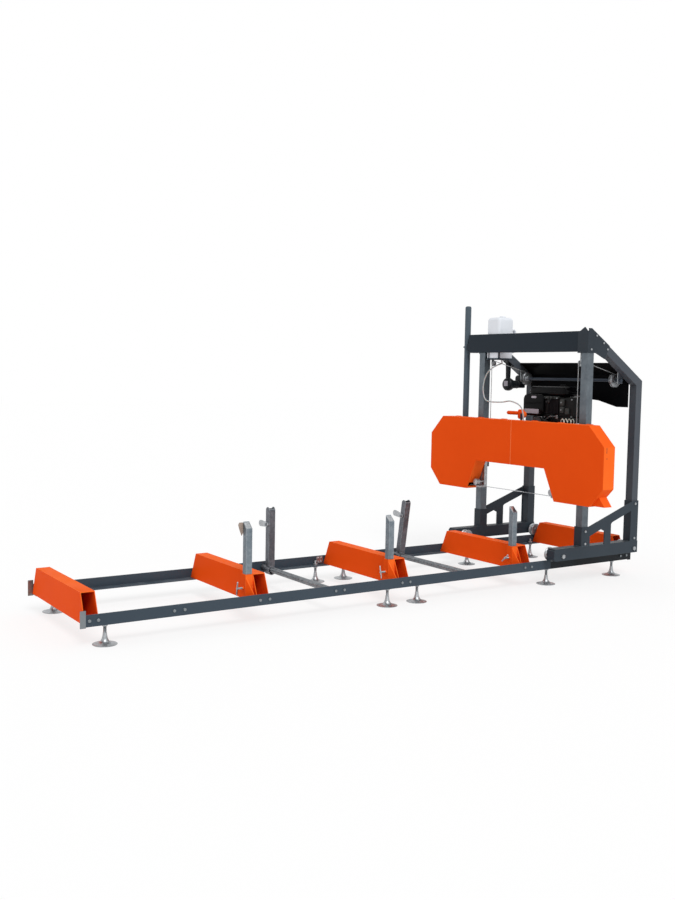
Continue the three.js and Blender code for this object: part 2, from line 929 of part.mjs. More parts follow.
function clamp(number, tubeX, leanDegrees, sleeveZ) {
  const group = new THREE.Group();
  group.position.set(tubeX, clampY, tubeZ);
  group.rotation.x = THREE.MathUtils.degToRad(leanDegrees);
  group.add(part(`clamp_post_${number}`, clampSolid(sleeveZ), zincPlate));
  group.add(part(`clamp_dog_${number}`, dogSolid(), zincPlate));
  return group;
}

// A carriage side frame: bottom beam, two post sleeves, the windowed plate and two axles.
function sideFrame(name, side) {
  const inner = side * frameInnerY;
  const outer = side * frameOuterY;
  const wall = frameTubeWall;
  const centre = side * postY;
  const clear = frameHalf - wall;
  const beamOutline = [
    [sideBeamStart, sideBeamBottom + sideBeamNose],
    [sideBeamStart + sideBeamNose, sideBeamBottom],
    [sideBeamEnd, sideBeamBottom],
    [sideBeamEnd, sideBeamTop],
    [sideBeamStart + sideBeamNose, sideBeamTop],
    [sideBeamStart, sideBeamTop - sideBeamNose],
  ];
  let solid = cut(
    prismY(beamOutline, Math.min(inner, outer), Math.max(inner, outer)),
    block(
      sideBeamStart + sideBeamCap,
      sideBeamEnd + cutMargin,
      centre - clear,
      centre + clear,
      sideBeamBottom + sideBeamNose,
      sideBeamTop - wall,
    ),
    block(
      sideBeamStart + sideBeamNose,
      sideBeamEnd + cutMargin,
      centre - clear,
      centre + clear,
      sideBeamBottom + wall,
      sideBeamTop - wall,
    ),
  );
  const footZ = sideBeamTop - weldBite;
  const sleeves = [[frontPostX, frontSleeveTop], [rearPostX, rearSleeveTop]];
  for (const [postX, topZ] of sleeves) {
    solid = join(solid, block(postX - frameHalf, postX + frameHalf, inner, outer, footZ, topZ));
  }
  const plateStart = frontPostX + frameHalf - weldBite;
  const plateEnd = rearPostX - frameHalf + weldBite;
  const outline = [
    [plateStart, footZ],
    [plateEnd, footZ],
    [plateEnd, plateRiseEnd],
    [plateStart, plateRiseStart],
  ];
  const plateFrom = Math.min(outer, outer - side * sidePlate);
  const plate = prismY(outline, plateFrom, plateFrom + sidePlate);
  const low = sideBeamTop;
  const window1 = [
    [window1Left, low],
    [window1Right, low],
    [window1Right, window1RightTop],
    [window1Peak, window1PeakTop],
    [window1Left, window1LeftTop],
  ];
  const window2 = [
    [window2Left, low],
    [plateEnd - windowRim, low],
    [plateEnd - windowRim, window2RightTop],
    [window2Turn, window2TurnTop],
    [window2Left, window2LeftTop],
  ];
  const past = plateFrom - cutMargin;
  const through = plateFrom + sidePlate + cutMargin;
  solid = join(solid, cut(plate, prismY(window1, past, through), prismY(window2, past, through)));
  for (const [postX, topZ] of sleeves) {
    const bore = block(
      postX - clear,
      postX + clear,
      centre - clear,
      centre + clear,
      sideBeamTop,
      topZ + cutMargin,
    );
    solid = cut(solid, bore);
  }
  const bolts = [
    [frontPostX, frontBoltLow],
    [frontPostX, frontBoltHigh],
    [rearPostX, rearBoltLow],
    [rearPostX, rearBoltHigh],
  ];
  for (const [boltX, boltZ] of bolts) {
    const root = side * (frameOuterY - weldBite);
    const face = side * (frameOuterY + frameBoltHeight);
    solid = join(solid, rodY(frameBoltRadius, root, face, 6, boltX, boltZ));
  }
  for (const axleX of [wheelFrontX, wheelRearX]) {
    const wheelOuter = side * (wheelCentreY + wheelHalf + runGap);
    const wheelInner = side * (wheelCentreY - wheelHalf - runGap);
    const tip = wheelInner - side * axleCollarLength;
    solid = join(
      solid,
      rodY(axleRadius, wheelInner - side * weldBite, outer, 16, axleX, axleZ),
      rodY(axleCollarRadius, wheelOuter, inner + side * weldBite, 16, axleX, axleZ),
      rodY(axleCollarRadius, tip, wheelInner, 16, axleX, axleZ),
      rodY(axleHeadRadius, outer - side * weldBite, outer + side * axleHeadHeight, 6, axleX, axleZ),
    );
  }
  return part(name, solid, lowerFrame);
}

function carriageWheel(name, wheelX, side) {
  const profile = [
    [axleRadius + runGap, -wheelHalf],
    [wheelRadius, -wheelHalf],
    [wheelRadius, -wheelLipHalf],
    [wheelTread, -wheelFloorHalf],
    [wheelTread, wheelFloorHalf],
    [wheelRadius, wheelLipHalf],
    [wheelRadius, wheelHalf],
    [axleRadius + runGap, wheelHalf],
    [axleRadius + runGap, -wheelHalf],
  ];
  return part(
    name,
    turned(profile, alongYForward, wheelSegments, wheelX, side * wheelCentreY, axleZ),
    zincPlate,
  );
}

function frontPost(name, side) {
  const low = sideBeamTop + seatGap;
  const high = beamBottom - seatGap;
  return part(name, tubeAlongZ(frontPostX, side * postY, postSize, postWall, low, high), greyTube);
}

// The brace's slope, from the mitre on the rear post to the top beam's rear face.
const braceFrontX = frontPostX + postHalf + seatGap;
const braceRun = rearPostX + postHalf - braceFrontX;
const braceLength = Math.hypot(braceRun, braceRise);
const braceDepthShare = braceLength / braceRun;

function braceTopAt(x) {
  return braceFoot + ((rearPostX + postHalf - x) * braceRise) / braceRun;
}

// Rear post and diagonal brace, mitred into one bent tube, with the lift shaft's bearing plate.
function rearPost(name, side) {
  const centre = side * postY;
  const low = sideBeamTop + seatGap;
  const outline = (inset, overrun) => {
    const back = rearPostX + postHalf - inset;
    const front = rearPostX - postHalf + inset;
    const tip = braceFrontX - overrun;
    const upper = (x) => braceTopAt(x) - inset * braceDepthShare;
    const lower = (x) => braceTopAt(x) - (postSize - inset) * braceDepthShare;
    return [
      [front, low - overrun],
      [back, low - overrun],
      [back, upper(back)],
      [tip, upper(tip)],
      [tip, lower(tip)],
      [front, lower(front)],
    ];
  };
  const shell = cut(
    prismY(outline(0, 0), centre - postHalf, centre + postHalf),
    prismY(outline(postWall, cutMargin), centre - postHalf + postWall, centre + postHalf - postWall),
  );
  const face = side * (postY - postHalf);
  const bearing = block(
    liftX - bearingHalf,
    liftX + bearingHalf,
    face + side * weldBite,
    face - side * bearingWall,
    liftZ - bearingHalf,
    bearingTop,
  );
  const bore = rodY(
    liftRadius + runGap,
    face + side * cutMargin,
    face - side * (bearingWall + cutMargin),
    16,
    liftX,
    liftZ,
  );
  return part(name, cut(join(shell, bearing), bore), greyTube);
}

// The top beam with its lifting lug, corner plates, tank shelf and upright's saddle.
function topBeam(name) {
  const front = frontPostX - postHalf;
  const back = frontPostX + postHalf;
  const near = -beamNearEnd - weldBite;
  let solid = block(front, back, near, beamFarEnd, beamBottom, beamTop);
  const nearFace = -beamNearEnd - sidePlateWall;
  const lug = [
    [nearFace, lugFootZ],
    [-lugInner, lugFootZ],
    [-lugInner, lugShoulderZ],
    [-lugPeakY, lugPeakZ],
    [nearFace, lugShoulderZ],
  ];
  const besidePost = block(
    front - seatGap,
    front + cutMargin,
    nearFace - cutMargin,
    cutMargin - lugInner,
    lugFootZ - cutMargin,
    beamBottom,
  );
  solid = join(solid, cut(prismX(lug, front - lugPlate, front + weldBite), besidePost));
  const braceX = back + cornerBrace;
  const braceZ = braceTopAt(braceX);
  const corner = (topZ) => [
    [cornerFront, lugFootZ],
    [cornerFootX, lugFootZ],
    [braceX - cornerBraceDrop / 2, braceZ - cornerBraceDrop],
    [braceX, braceZ],
    [cornerPeakX + beamTop + cornerRise - topZ, topZ],
    [cornerFront, topZ],
  ];
  const bolts = [
    [cornerFront + cornerBoltInset, beamBottom + cornerBoltRise],
    [back + cornerBoltRise, beamTop - cornerBoltDrop],
    [braceX - cornerBoltReach, braceTopAt(braceX - cornerBoltReach) - cornerBoltInset],
    [braceX - cornerBoltInset, braceZ - cornerBoltInset],
  ];
  for (const side of [-1, 1]) {
    const inner = side * beamNearEnd;
    const outer = side * (beamNearEnd + sidePlateWall);
    const topZ = side < 0 ? beamTop + cornerRise : beamTop;
    solid = join(solid, prismY(corner(topZ), Math.min(inner, outer), Math.max(inner, outer)));
    for (const [boltX, boltZ] of bolts.filter(([x]) => side < 0 || x > back)) {
      const root = outer - side * weldBite;
      const face = outer + side * cornerBoltHeight;
      solid = join(solid, rodY(cornerBoltRadius, root, face, 6, boltX, boltZ));
    }
  }
  const hollow = block(
    front + beamWall,
    back + cutMargin,
    -beamNearEnd,
    beamFarEnd + cutMargin,
    beamBottom + beamWall,
    beamTop - beamWall,
  );
  const notch = block(
    front + beamWall,
    back + cutMargin,
    tankNearY - shelfMargin,
    tankFarY + shelfMargin,
    beamBottom - cutMargin,
    beamTop + cutMargin,
  );
  solid = cut(solid, hollow, notch);
  const endPlate = block(
    front,
    back,
    beamFarEnd - beamWall,
    beamFarEnd,
    beamBottom + weldBite,
    beamTop - weldBite,
  );
  const saddle = block(
    front,
    back,
    beamFarEnd - weldBite,
    uprightY - uprightRadius - seatGap,
    saddleZ - saddleHalf,
    saddleZ + saddleHalf,
  );
  const shelfTop = tankBottom - seatGap;
  const shelfLow = shelfTop - shelfWall;
  const shelfNear = tankNearY - shelfMargin - shelfWall;
  const shelfFar = tankFarY + shelfMargin + shelfWall;
  const shelfBack = tankBackX + shelfRear;
  const hangerBack = front + beamWall + shelfHanger;
  const shelf = block(front + beamWall, shelfBack, shelfNear, shelfFar, shelfLow, shelfTop);
  const nearHanger = block(
    front,
    hangerBack,
    shelfNear,
    shelfNear + shelfWall,
    shelfLow,
    beamBottom + weldBite,
  );
  const farHanger = block(front, hangerBack, shelfFar - shelfWall, shelfFar, shelfLow, beamBottom + weldBite);
  const outlet = rodZ(
    tankSpoutRadius + runGap,
    shelfLow - cutMargin,
    shelfTop + cutMargin,
    12,
    hoseStartX,
    hoseStartY,
  );
  solid = join(solid, endPlate, saddle, cut(join(shelf, nearHanger, farHanger), outlet));
  return part(name, solid, upperFrame);
}

// The upright tube, capped at the top, with the bolt head that holds it to the beam.
function uprightTube(name) {
  const inner = uprightRadius - uprightWall;
  const profile = [
    [inner, uprightBottom],
    [uprightRadius, uprightBottom],
    [uprightRadius, uprightTop - uprightCapHeight],
    [uprightCapRadius, uprightTop],
    [0, uprightTop],
    [0, uprightTop - uprightCapHeight - uprightWall],
    [inner, uprightTop - uprightCapHeight - uprightWall],
    [inner, uprightBottom],
  ];
  const tube = turned(profile, alongZ, tubeSegments, frontPostX, uprightY, 0);
  const face = uprightY + uprightRadius;
  const head = rodY(
    frameBoltRadius,
    face - uprightWall / 2,
    face + frameBoltHeight + frameBoltHeight,
    6,
    frontPostX,
    saddleZ,
  );
  return part(name, join(tube, head), greyTube);
}

// The water tank: a blow moulded can with rounded corners, a cap and an outlet spout.
function tank(name) {
  const bodyTop = tankBottom + tankHeight - tankShoulder;
  const body = prismZ(
    roundedOutline(tankFrontX, tankBackX, tankNearY, tankFarY, tankCorner, cornerSteps),
    tankBottom,
    bodyTop,
  );
  const crownOutline = roundedOutline(
    tankFrontX + tankShoulder,
    tankBackX - tankShoulder,
    tankNearY + tankShoulder,
    tankFarY - tankShoulder,
    tankCorner,
    cornerSteps,
  );
  const crown = prismZ(crownOutline, bodyTop - tankShoulder, bodyTop + tankShoulder);
  const capX = tankBackX - tankShoulder - tankCapRadius - tankShoulder;
  const capY = (tankNearY + tankFarY) / 2;
  const cap = rodZ(tankCapRadius, bodyTop, bodyTop + tankShoulder + tankCapHeight, 16, capX, capY);
  const spout = rodZ(
    tankSpoutRadius,
    tankBottom - tankSpoutDrop,
    tankBottom + tankShoulder,
    12,
    hoseStartX,
    hoseStartY,
  );
  const handleTop = bodyTop - tankHandleDrop;
  const handleLow = tankBottom + tankHandleDrop;
  const handleBack = tankBackX + tankHandle;
  const outer = roundedOutline(
    tankBackX - tankShoulder,
    handleBack,
    handleLow,
    handleTop,
    tankCorner,
    cornerSteps,
  );
  const gripFront = tankBackX - tankShoulder;
  const gripBack = handleBack - tankGripWidth;
  const opening = [
    [gripFront, handleLow + tankGripWidth],
    [gripBack, handleLow + tankGripWidth],
    [gripBack, handleTop - tankGripWidth],
    [gripFront, handleTop - tankGripWidth],
  ];
  const handle = cut(
    prismY(outer, capY - tankHandleHalf, capY + tankHandleHalf),
    prismY(opening, capY - tankHandleHalf - cutMargin, capY + tankHandleHalf + cutMargin),
  );
  return part(name, join(body, crown, cap, spout, handle), whiteTank);
}

// The hood: a bent sheet over the lift shaft with an arched lower edge.
function hood(name) {
  const drop = hoodWall * braceDepthShare;
  const outline = [
    [hoodFrontX, hoodFrontZ - hoodLip],
    [hoodFrontX + hoodWall, hoodFrontZ - hoodLip],
    [hoodFrontX + hoodWall, hoodFrontZ - drop - hoodWall / 2],
    [hoodKneeX - hoodWall, hoodKneeZ - drop],
    [hoodKneeX - hoodWall, hoodBottom],
    [hoodKneeX, hoodBottom],
    [hoodKneeX, hoodKneeZ],
    [hoodFrontX, hoodFrontZ],
  ];
  const low = hoodBottom - cutMargin;
  const arch = [
    [-hoodArchHalf, low],
    [hoodArchHalf, low],
    [hoodArchStep, hoodBottom + hoodArchRise * hoodArchShare],
    [hoodArchStep / 2, hoodBottom + hoodArchRise],
    [-hoodArchStep / 2, hoodBottom + hoodArchRise],
    [-hoodArchStep, hoodBottom + hoodArchRise * hoodArchShare],
  ];
  const solid = cut(
    prismY(outline, -hoodHalf, hoodHalf),
    prismX(arch, hoodKneeX - hoodWall - cutMargin, hoodKneeX + cutMargin),
  );
  return part(name, solid, blackParts);
}

// The lift shaft with a grooved cable drum near each end.
function liftShaft(name) {
  const drum = (centre) => [
    [liftRadius, centre - drumHalf],
    [drumRadius, centre - drumHalf],
    [drumRadius, centre - drumFloorHalf - drumFloorHalf / 2],
    [drumFloor, centre - drumFloorHalf],
    [drumFloor, centre + drumFloorHalf],
    [drumRadius, centre + drumFloorHalf + drumFloorHalf / 2],
    [drumRadius, centre + drumHalf],
    [liftRadius, centre + drumHalf],
  ];
  const profile = [
    [0, liftNearEnd],
    [liftRadius, liftNearEnd],
    ...drum(-drumY),
    ...drum(drumY),
    [liftRadius, liftFarEnd],
    [0, liftFarEnd],
  ];
  return part(name, turned(profile, alongYForward, tubeSegments, liftX, 0, liftZ), zincPlate);
}

// The winch: a worm gear under the lift shaft's far end, its motor and the strut to the far brace.
function winch(name) {
  const centre = postY;
  const under = (x) => braceTopAt(x) - postSize * braceDepthShare - seatGap;
  const cap = rodX(winchCapRadius, winchFront, winchCapBack, tubeSegments, centre, winchZ);
  const body = rodX(winchBodyRadius, winchCapBack - weldBite, winchBodyBack, tubeSegments, centre, winchZ);
  const worm = block(wormFront, wormBack, centre - wormHalf, centre + wormHalf, wormBottom, wormTop);
  const ring = rodY(wormRing, centre - wormHalf, centre + wormHalf, tubeSegments, liftX, liftZ);
  const neck = block(
    liftX - wormRing,
    liftX + wormRing,
    centre - wormHalf,
    centre + wormHalf,
    wormTop - weldBite,
    liftZ,
  );
  const hub = rodX(handleHubRadius, wormBack - weldBite, handleHubBack, tubeSegments, centre, winchZ);
  const strutOutline = [
    [strutFront, winchZ],
    [strutBack, winchZ],
    [strutBack, under(strutBack)],
    [strutFront, under(strutFront)],
  ];
  const plateOutline = [
    [strutFront - strutPlateReach, under(strutFront - strutPlateReach) - strutPlate],
    [strutBack + strutPlateReach, under(strutBack + strutPlateReach) - strutPlate],
    [strutBack + strutPlateReach, under(strutBack + strutPlateReach)],
    [strutFront - strutPlateReach, under(strutFront - strutPlateReach)],
  ];
  const strut = prismY(strutOutline, centre - strutHalf, centre + strutHalf);
  const plate = prismY(plateOutline, centre - postHalf, centre + postHalf);
  const bore = rodY(
    liftRadius + runGap,
    centre - wormHalf - cutMargin,
    centre + wormHalf + cutMargin,
    16,
    liftX,
    liftZ,
  );
  return part(name, cut(join(cap, body, worm, ring, neck, hub, strut, plate), bore), blackParts);
}

function liftCable(name, side) {
  const low = cableLugTop + seatGap;
  const high = beamBottom - seatGap;
  return part(name, rodZ(cableRadius, low, high, cableSides, frontPostX, side * cableY), zincPlate);
}

// The saw head's welded frame: cross beam, post sleeves, engine deck, gussets and cable lugs.
function headFrame(name) {
  const wall = headBeamWall;
  let solid = cut(
    block(headBeamFront, headBeamBack, -headBeamHalf, headBeamHalf, headBeamBottom, headBeamTop),
    block(
      headBeamFront + wall,
      headBeamBack - wall,
      -headBeamHalf - cutMargin,
      headBeamHalf + cutMargin,
      headBeamBottom + wall,
      headBeamTop - wall,
    ),
  );
  for (const side of [-1, 1]) {
    const centre = side * postY;
    const half = headSleeveHalf;
    const clear = postHalf + seatGap;
    solid = join(
      solid,
      cut(
        block(
          frontPostX - half,
          frontPostX + half,
          centre - half,
          centre + half,
          headSleeveBottom,
          headSleeveTop,
        ),
        block(
          frontPostX - clear,
          frontPostX + clear,
          centre - clear,
          centre + clear,
          headSleeveBottom - cutMargin,
          headSleeveTop + cutMargin,
        ),
      ),
    );
    const lugY = side * cableY;
    const lugLow = cableLugTop - cableLugHeight;
    const lug = block(
      headBeamBack - wall,
      cableLugBack,
      lugY - cableLugHalf,
      lugY + cableLugHalf,
      lugLow,
      cableLugTop,
    );
    solid = join(solid, lug);
  }
  const deckLow = engineDeckTop - engineDeckWall;
  const gusset = [
    [headBeamBack - weldBite, gussetFootZ],
    [engineDeckBack, deckLow - engineDeckWall],
    [engineDeckBack, deckLow + weldBite],
    [engineDeckFront, deckLow + weldBite],
    [headBeamBack - weldBite, headBeamTop],
  ];
  solid = join(
    solid,
    block(engineDeckFront, engineDeckBack, engineDeckNear, engineDeckFar, deckLow, engineDeckTop),
    prismY(gusset, gussetNearY, gussetNearY + gussetThickness),
    prismY(gusset, gussetFarY, gussetFarY + gussetThickness),
  );
  const postFoot = headBeamTop - weldBite;
  const leverPost = block(
    leverX - leverHubHalf - seatGap - leverPostThickness,
    leverX - leverHubHalf - seatGap,
    leverY - leverPostHalf,
    leverY + leverPostHalf,
    postFoot,
    leverZ + leverPostHalf,
  );
  const leverPin = rodX(
    leverPinRadius,
    leverX - leverHubHalf - leverPostThickness,
    leverX + leverHubHalf,
    12,
    leverY,
    leverZ,
  );
  const boss = rodZ(bossRadius, postFoot, headBeamTop + bossHeight, 12, hoseEndX, hoseEndY);
  solid = join(solid, leverPost, leverPin, boss, bladeGuideSolid(-1));
  for (const side of [-1, 1]) {
    const bore = wheelShaft + runGap;
    solid = cut(
      solid,
      rodX(bore, headBeamFront - cutMargin, headBeamBack + cutMargin, 20, side * bladeWheelY, bladeWheelZ),
    );
  }
  return part(name, solid, upperFrame);
}

// The guard's outline in Y and Z, counter clockwise from the notch's near top corner.
function guardOutline() {
  return [
    [-notchTopHalf, notchTop],
    [-notchBottomHalf, guardBottom],
    [-guardBottomHalf, guardBottom],
    [-guardHalf, guardKnee],
    [-guardHalf, guardShoulder],
    [-guardTopHalf, guardTop],
    [guardTopHalf, guardTop],
    [guardHalf, guardShoulder],
    [guardHalf, guardKnee],
    [guardBottomHalf, guardBottom],
    [notchBottomHalf, guardBottom],
    [notchTopHalf, notchTop],
  ].reverse();
}

// The sawdust chute's outline in Y and Z, from the guard's lower chamfer out to its mouth.
function chuteOutline() {
  return [
    [chuteTopInset - guardHalf, chuteTop],
    [chuteMouthInset - guardHalf, chuteMouth],
    [chuteRootInset - guardHalf, chuteRoot],
  ];
}

// One half of the folded guard, open at the back, at the seam and where the blade passes.
function guardCover(name, side) {
  const outline = guardOutline();
  const slotInner = notchTopHalf - cutMargin;
  const slotOuter = notchBottomHalf + cutMargin;
  const bladeZ = bladeWheelZ - bladeWheelRadius;
  const shell = cut(
    prismX(outline, guardFront, guardBack),
    prismX(movedInward(outline, guardWall), guardFront + guardWall, guardBack + cutMargin),
  );
  const seam = guardSeam + (side * guardSeamGap) / 2;
  const far = side * (guardHalf + cutMargin);
  const half = block(
    guardFront - cutMargin,
    guardBack + cutMargin,
    seam,
    far,
    guardBottom - cutMargin,
    guardTop + cutMargin,
  );
  const slot = block(
    guardFront + guardWall * guardDepthShare,
    guardBack + cutMargin,
    side * slotInner,
    side * slotOuter,
    bladeZ - bladeSlotHalf,
    bladeZ + bladeSlotHalf,
  );
  const cover = cut(shell.intersect(half), slot);
  return part(name, side < 0 ? withChute(cover) : cover, orangePaint);
}

// The near cover with the chute's two cheeks and slanted top, and the opening that feeds it.
function withChute(cover) {
  const [top, mouth, root] = chuteOutline();
  const duct = prismX([top, mouth, root], chuteFront, chuteBack);
  const drop = chuteWall + chuteWall;
  const inside = [
    [top[0] + cutMargin, top[1] + cutMargin - drop],
    [top[0], top[1] - drop],
    [mouth[0], mouth[1] - drop],
    [root[0], root[1] - cutMargin - cutMargin],
    [root[0] + cutMargin, root[1]],
  ];
  return cut(join(cover, duct), prismX(inside, chuteFront + chuteWall, chuteBack - chuteWall));
}

// The guard's back sheet with the wheel shafts' holes.
function guardBackSheet(name) {
  const bore = (side) => rodX(
    shaftHole,
    backPlateFront - cutMargin,
    backPlateBack + cutMargin,
    tubeSegments,
    side * bladeWheelY,
    bladeWheelZ,
  );
  return part(
    name,
    cut(prismX(guardOutline(), backPlateFront, backPlateBack), bore(-1), bore(1)),
    orangePaint,
  );
}

// A band wheel with its windowed web and shaft; the near one carries the drive pulley.
function bandWheel(name, side) {
  const x = (offset) => bladeWheelX + offset;
  const shaftProfile = side < 0
    ? [
      [wheelShaft, x(hubHalf)],
      [wheelShaft, pulleyStart],
      [beltRadiusHead + pulleyLip, pulleyStart],
      [beltRadiusHead + pulleyLip, pulleyStart + pulleyFlange],
      [beltRadiusHead, pulleyStart + pulleyFlange],
      [beltRadiusHead, pulleyStart + pulleyWidth - pulleyFlange],
      [beltRadiusHead + pulleyLip, pulleyStart + pulleyWidth - pulleyFlange],
      [beltRadiusHead + pulleyLip, pulleyStart + pulleyWidth],
      [0, pulleyStart + pulleyWidth],
    ]
    : [[wheelShaft, x(hubHalf)], [wheelShaft, farShaftEnd], [0, farShaftEnd]];
  const profile = [
    [0, x(-hubHalf)],
    [hubRadius, x(-hubHalf)],
    [hubRadius, x(-webHalf)],
    [rimInner, x(-webHalf)],
    [rimInner, x(-bladeWheelHalf)],
    [bladeWheelRadius, x(-bladeWheelHalf)],
    [bladeWheelRadius, x(bladeWheelHalf)],
    [rimInner, x(bladeWheelHalf)],
    [rimInner, x(webHalf)],
    [hubRadius, x(webHalf)],
    [hubRadius, x(hubHalf)],
    ...shaftProfile,
  ];
  let solid = turned(profile, alongX, bladeWheelSegments, 0, side * bladeWheelY, bladeWheelZ);
  for (let i = 0; i < webHoleCount; i += 1) {
    const angle = (2 * Math.PI * i) / webHoleCount;
    const holeY = side * bladeWheelY + webHoleCircle * Math.cos(angle);
    const holeZ = bladeWheelZ + webHoleCircle * Math.sin(angle);
    solid = cut(solid, rodX(webHoleRadius, x(-bladeWheelHalf), x(bladeWheelHalf), 12, holeY, holeZ));
  }
  return part(name, solid, castIron);
}

// The band blade: a thin loop around both wheels with teeth along its front edge.
function blade(name) {
  const loop = (radius) => loopOutline(
    -bladeWheelY,
    bladeWheelZ,
    radius,
    bladeWheelY,
    bladeWheelZ,
    radius,
    bladeArcSteps,
  );
  const front = bladeWheelX - bladeWheelHalf - bladeTooth;
  const back = front + bladeWidth;
  const band = cut(
    prismX(loop(bladeOuter), front, back),
    prismX(loop(bladeInner), front - cutMargin, back + cutMargin),
  );
  const half = bladeWheelY + bladeOuter + toothPitch;
  const count = Math.floor((half + half) / toothPitch);
  const comb = [[front - cutMargin, -half], [front + bladeTooth, -half]];
  for (let i = 0; i < count; i += 1) {
    const y = i * toothPitch - half;
    comb.push([front + bladeTooth, y + toothPitch * toothShare], [front, y + toothPitch]);
    if (i < count - 1) comb.push([front + bladeTooth, y + toothPitch + pointMerge]);
  }
  comb.push([front - cutMargin, count * toothPitch - half]);
  const low = bladeWheelZ - bladeOuter - cutMargin;
  const high = bladeWheelZ + bladeOuter + cutMargin;
  return part(name, cut(band, prismZ(comb, low, high)), bladeSteel);
}

// A blade guide: saddle under the head's beam, arm, roller above the blade and shoe below it.
// The near one is fixed to the beam and the far one slides along it.
function bladeGuideSolid(side) {
  const y = side * guideY;
  const saddleTop = side < 0 ? headBeamBottom + weldBite : headBeamBottom - seatGap;
  const rollerZ = bladeWheelZ - bladeInner + seatGap + guideRadius;
  const bladeLow = bladeWheelZ - bladeOuter - seatGap;
  const bladeFront = bladeWheelX - bladeWheelHalf;
  const saddle = block(
    headBeamFront + guideSaddleHeight,
    frontPostX - headSleeveHalf - seatGap,
    y - guideSaddleHalf,
    y + guideSaddleHalf,
    headBeamBottom - seatGap - guideSaddleHeight,
    saddleTop,
  );
  const arm = block(
    guideArmFront,
    guideArmBack,
    y - guideArmHalf,
    y + guideArmHalf,
    bladeLow - guideShoeDrop,
    saddleTop,
  );
  const spindle = rodX(guideSpindle, bladeFront, guideArmFront + weldBite, 12, y, rollerZ);
  const roller = rodX(guideRadius, bladeFront, bladeFront + guideHalf + guideHalf, guideSegments, y, rollerZ);
  const shoe = block(
    guideShoeFront - guideHalf,
    guideArmFront + weldBite,
    y - guideShoeHalf,
    y + guideShoeHalf,
    bladeLow - guideShoeDrop,
    bladeLow,
  );
  return join(saddle, arm, spindle, roller, shoe);
}

function farBladeGuide(name) {
  return part(name, bladeGuideSolid(1), zincPlate);
}

// The drive belt around the engine's pulley and the near band wheel's pulley.
function driveBelt(name) {
  const loop = (extra) => loopOutline(
    -bladeWheelY,
    bladeWheelZ,
    flatSided(beltRadiusHead + extra, beltArcSteps),
    0,
    crankZ,
    flatSided(enginePulleyRadius - pulleyLip + extra, beltArcSteps),
    beltArcSteps,
  );
  const from = pulleyStart + pulleyFlange + seatGap;
  const to = pulleyStart + pulleyWidth - pulleyFlange - seatGap;
  const solid = cut(
    prismX(loop(pulleyLip), from, to),
    prismX(loop(seatGap), from - cutMargin, to + cutMargin),
  );
  return part(name, solid, rubberBelt);
}

// The engine: crankcase, finned cylinder, air box, muffler, fuel tank and blower housing.
function engine(name) {
  const deck = engineDeckTop + seatGap;
  const caseBlock = block(
    engineCaseFront,
    engineCaseBack,
    -engineCaseHalf,
    engineCaseHalf,
    deck,
    engineCaseTop,
  );
  const feet = block(
    engineCaseFront,
    engineCaseBack,
    -engineFeetHalf,
    engineFeetHalf,
    deck,
    deck + engineFeetHeight,
  );
  const blower = turned(
    [
      [0, engineCaseBack - weldBite],
      [blowerRadius - finWall, engineCaseBack - weldBite],
      [blowerRadius - finWall, engineCaseBack + finWall],
      [blowerRim, blowerBack],
      [0, blowerBack],
    ],
    alongX,
    blowerSegments,
    0,
    0,
    deck + blowerRadius,
  );
  let solid = join(caseBlock, feet, blower);
  const coreTop = engineCaseTop + finHeight;
  solid = join(
    solid,
    block(
      finFront + finCore,
      finBack - finCore,
      finNear + finWall,
      finFar - finWall,
      engineCaseTop - weldBite,
      coreTop,
    ),
  );
  for (let i = 0; i < finCount; i += 1) {
    const y = finNear + finPitch * (i + 0.5);
    const fin = block(finFront, finBack, y - finWall / 2, y + finWall / 2, engineCaseTop - weldBite, coreTop);
    solid = join(solid, fin);
  }
  const coverFront = finFront + finWall;
  const headCover = block(
    coverFront,
    finBack - finWall,
    finNear + finWall,
    finFar - finWall,
    coreTop - weldBite,
    coreTop + cylinderHeadWall,
  );
  const airBox = prismX(
    roundedOutline(airBoxNear, airBoxFar, airBoxBottom, airBoxTop, airBoxRound, cornerSteps),
    airBoxFront,
    airBoxBack,
  );
  const muffler = prismX(
    roundedOutline(mufflerNear, mufflerFar, mufflerBottom, mufflerTop, finCore, cornerSteps / 2),
    mufflerFront,
    mufflerBack,
  );
  const fuelBottom = coreTop + cylinderHeadWall - weldBite;
  const fuel = prismY(
    roundedOutline(fuelFront, fuelBack, fuelBottom, fuelTop, fuelRound, cornerSteps),
    fuelNear,
    fuelFar,
  );
  const fuelCap = rodZ(
    fuelCapRadius,
    fuelTop - weldBite,
    fuelTop + fuelCapHeight,
    16,
    (fuelFront + fuelBack) / 2,
    fuelNear / 2,
  );
  return part(name, join(solid, headCover, airBox, muffler, fuel, fuelCap), blackParts);
}

// The engine's belt pulley on its crankshaft.
function enginePulley(name) {
  const pulleyRim = enginePulleyRadius;
  const floor = enginePulleyRadius - pulleyLip;
  const pulley = turned(
    [
      [0, pulleyStart],
      [pulleyRim, pulleyStart],
      [pulleyRim, pulleyStart + pulleyFlange],
      [floor, pulleyStart + pulleyFlange],
      [floor, pulleyStart + pulleyWidth - pulleyFlange],
      [pulleyRim, pulleyStart + pulleyWidth - pulleyFlange],
      [pulleyRim, pulleyStart + pulleyWidth],
      [crankRadius, pulleyStart + pulleyWidth],
      [crankRadius, engineCaseFront - seatGap],
      [0, engineCaseFront - seatGap],
    ],
    alongX,
    blowerSegments,
    0,
    0,
    crankZ,
  );
  return part(name, pulley, castIron);
}

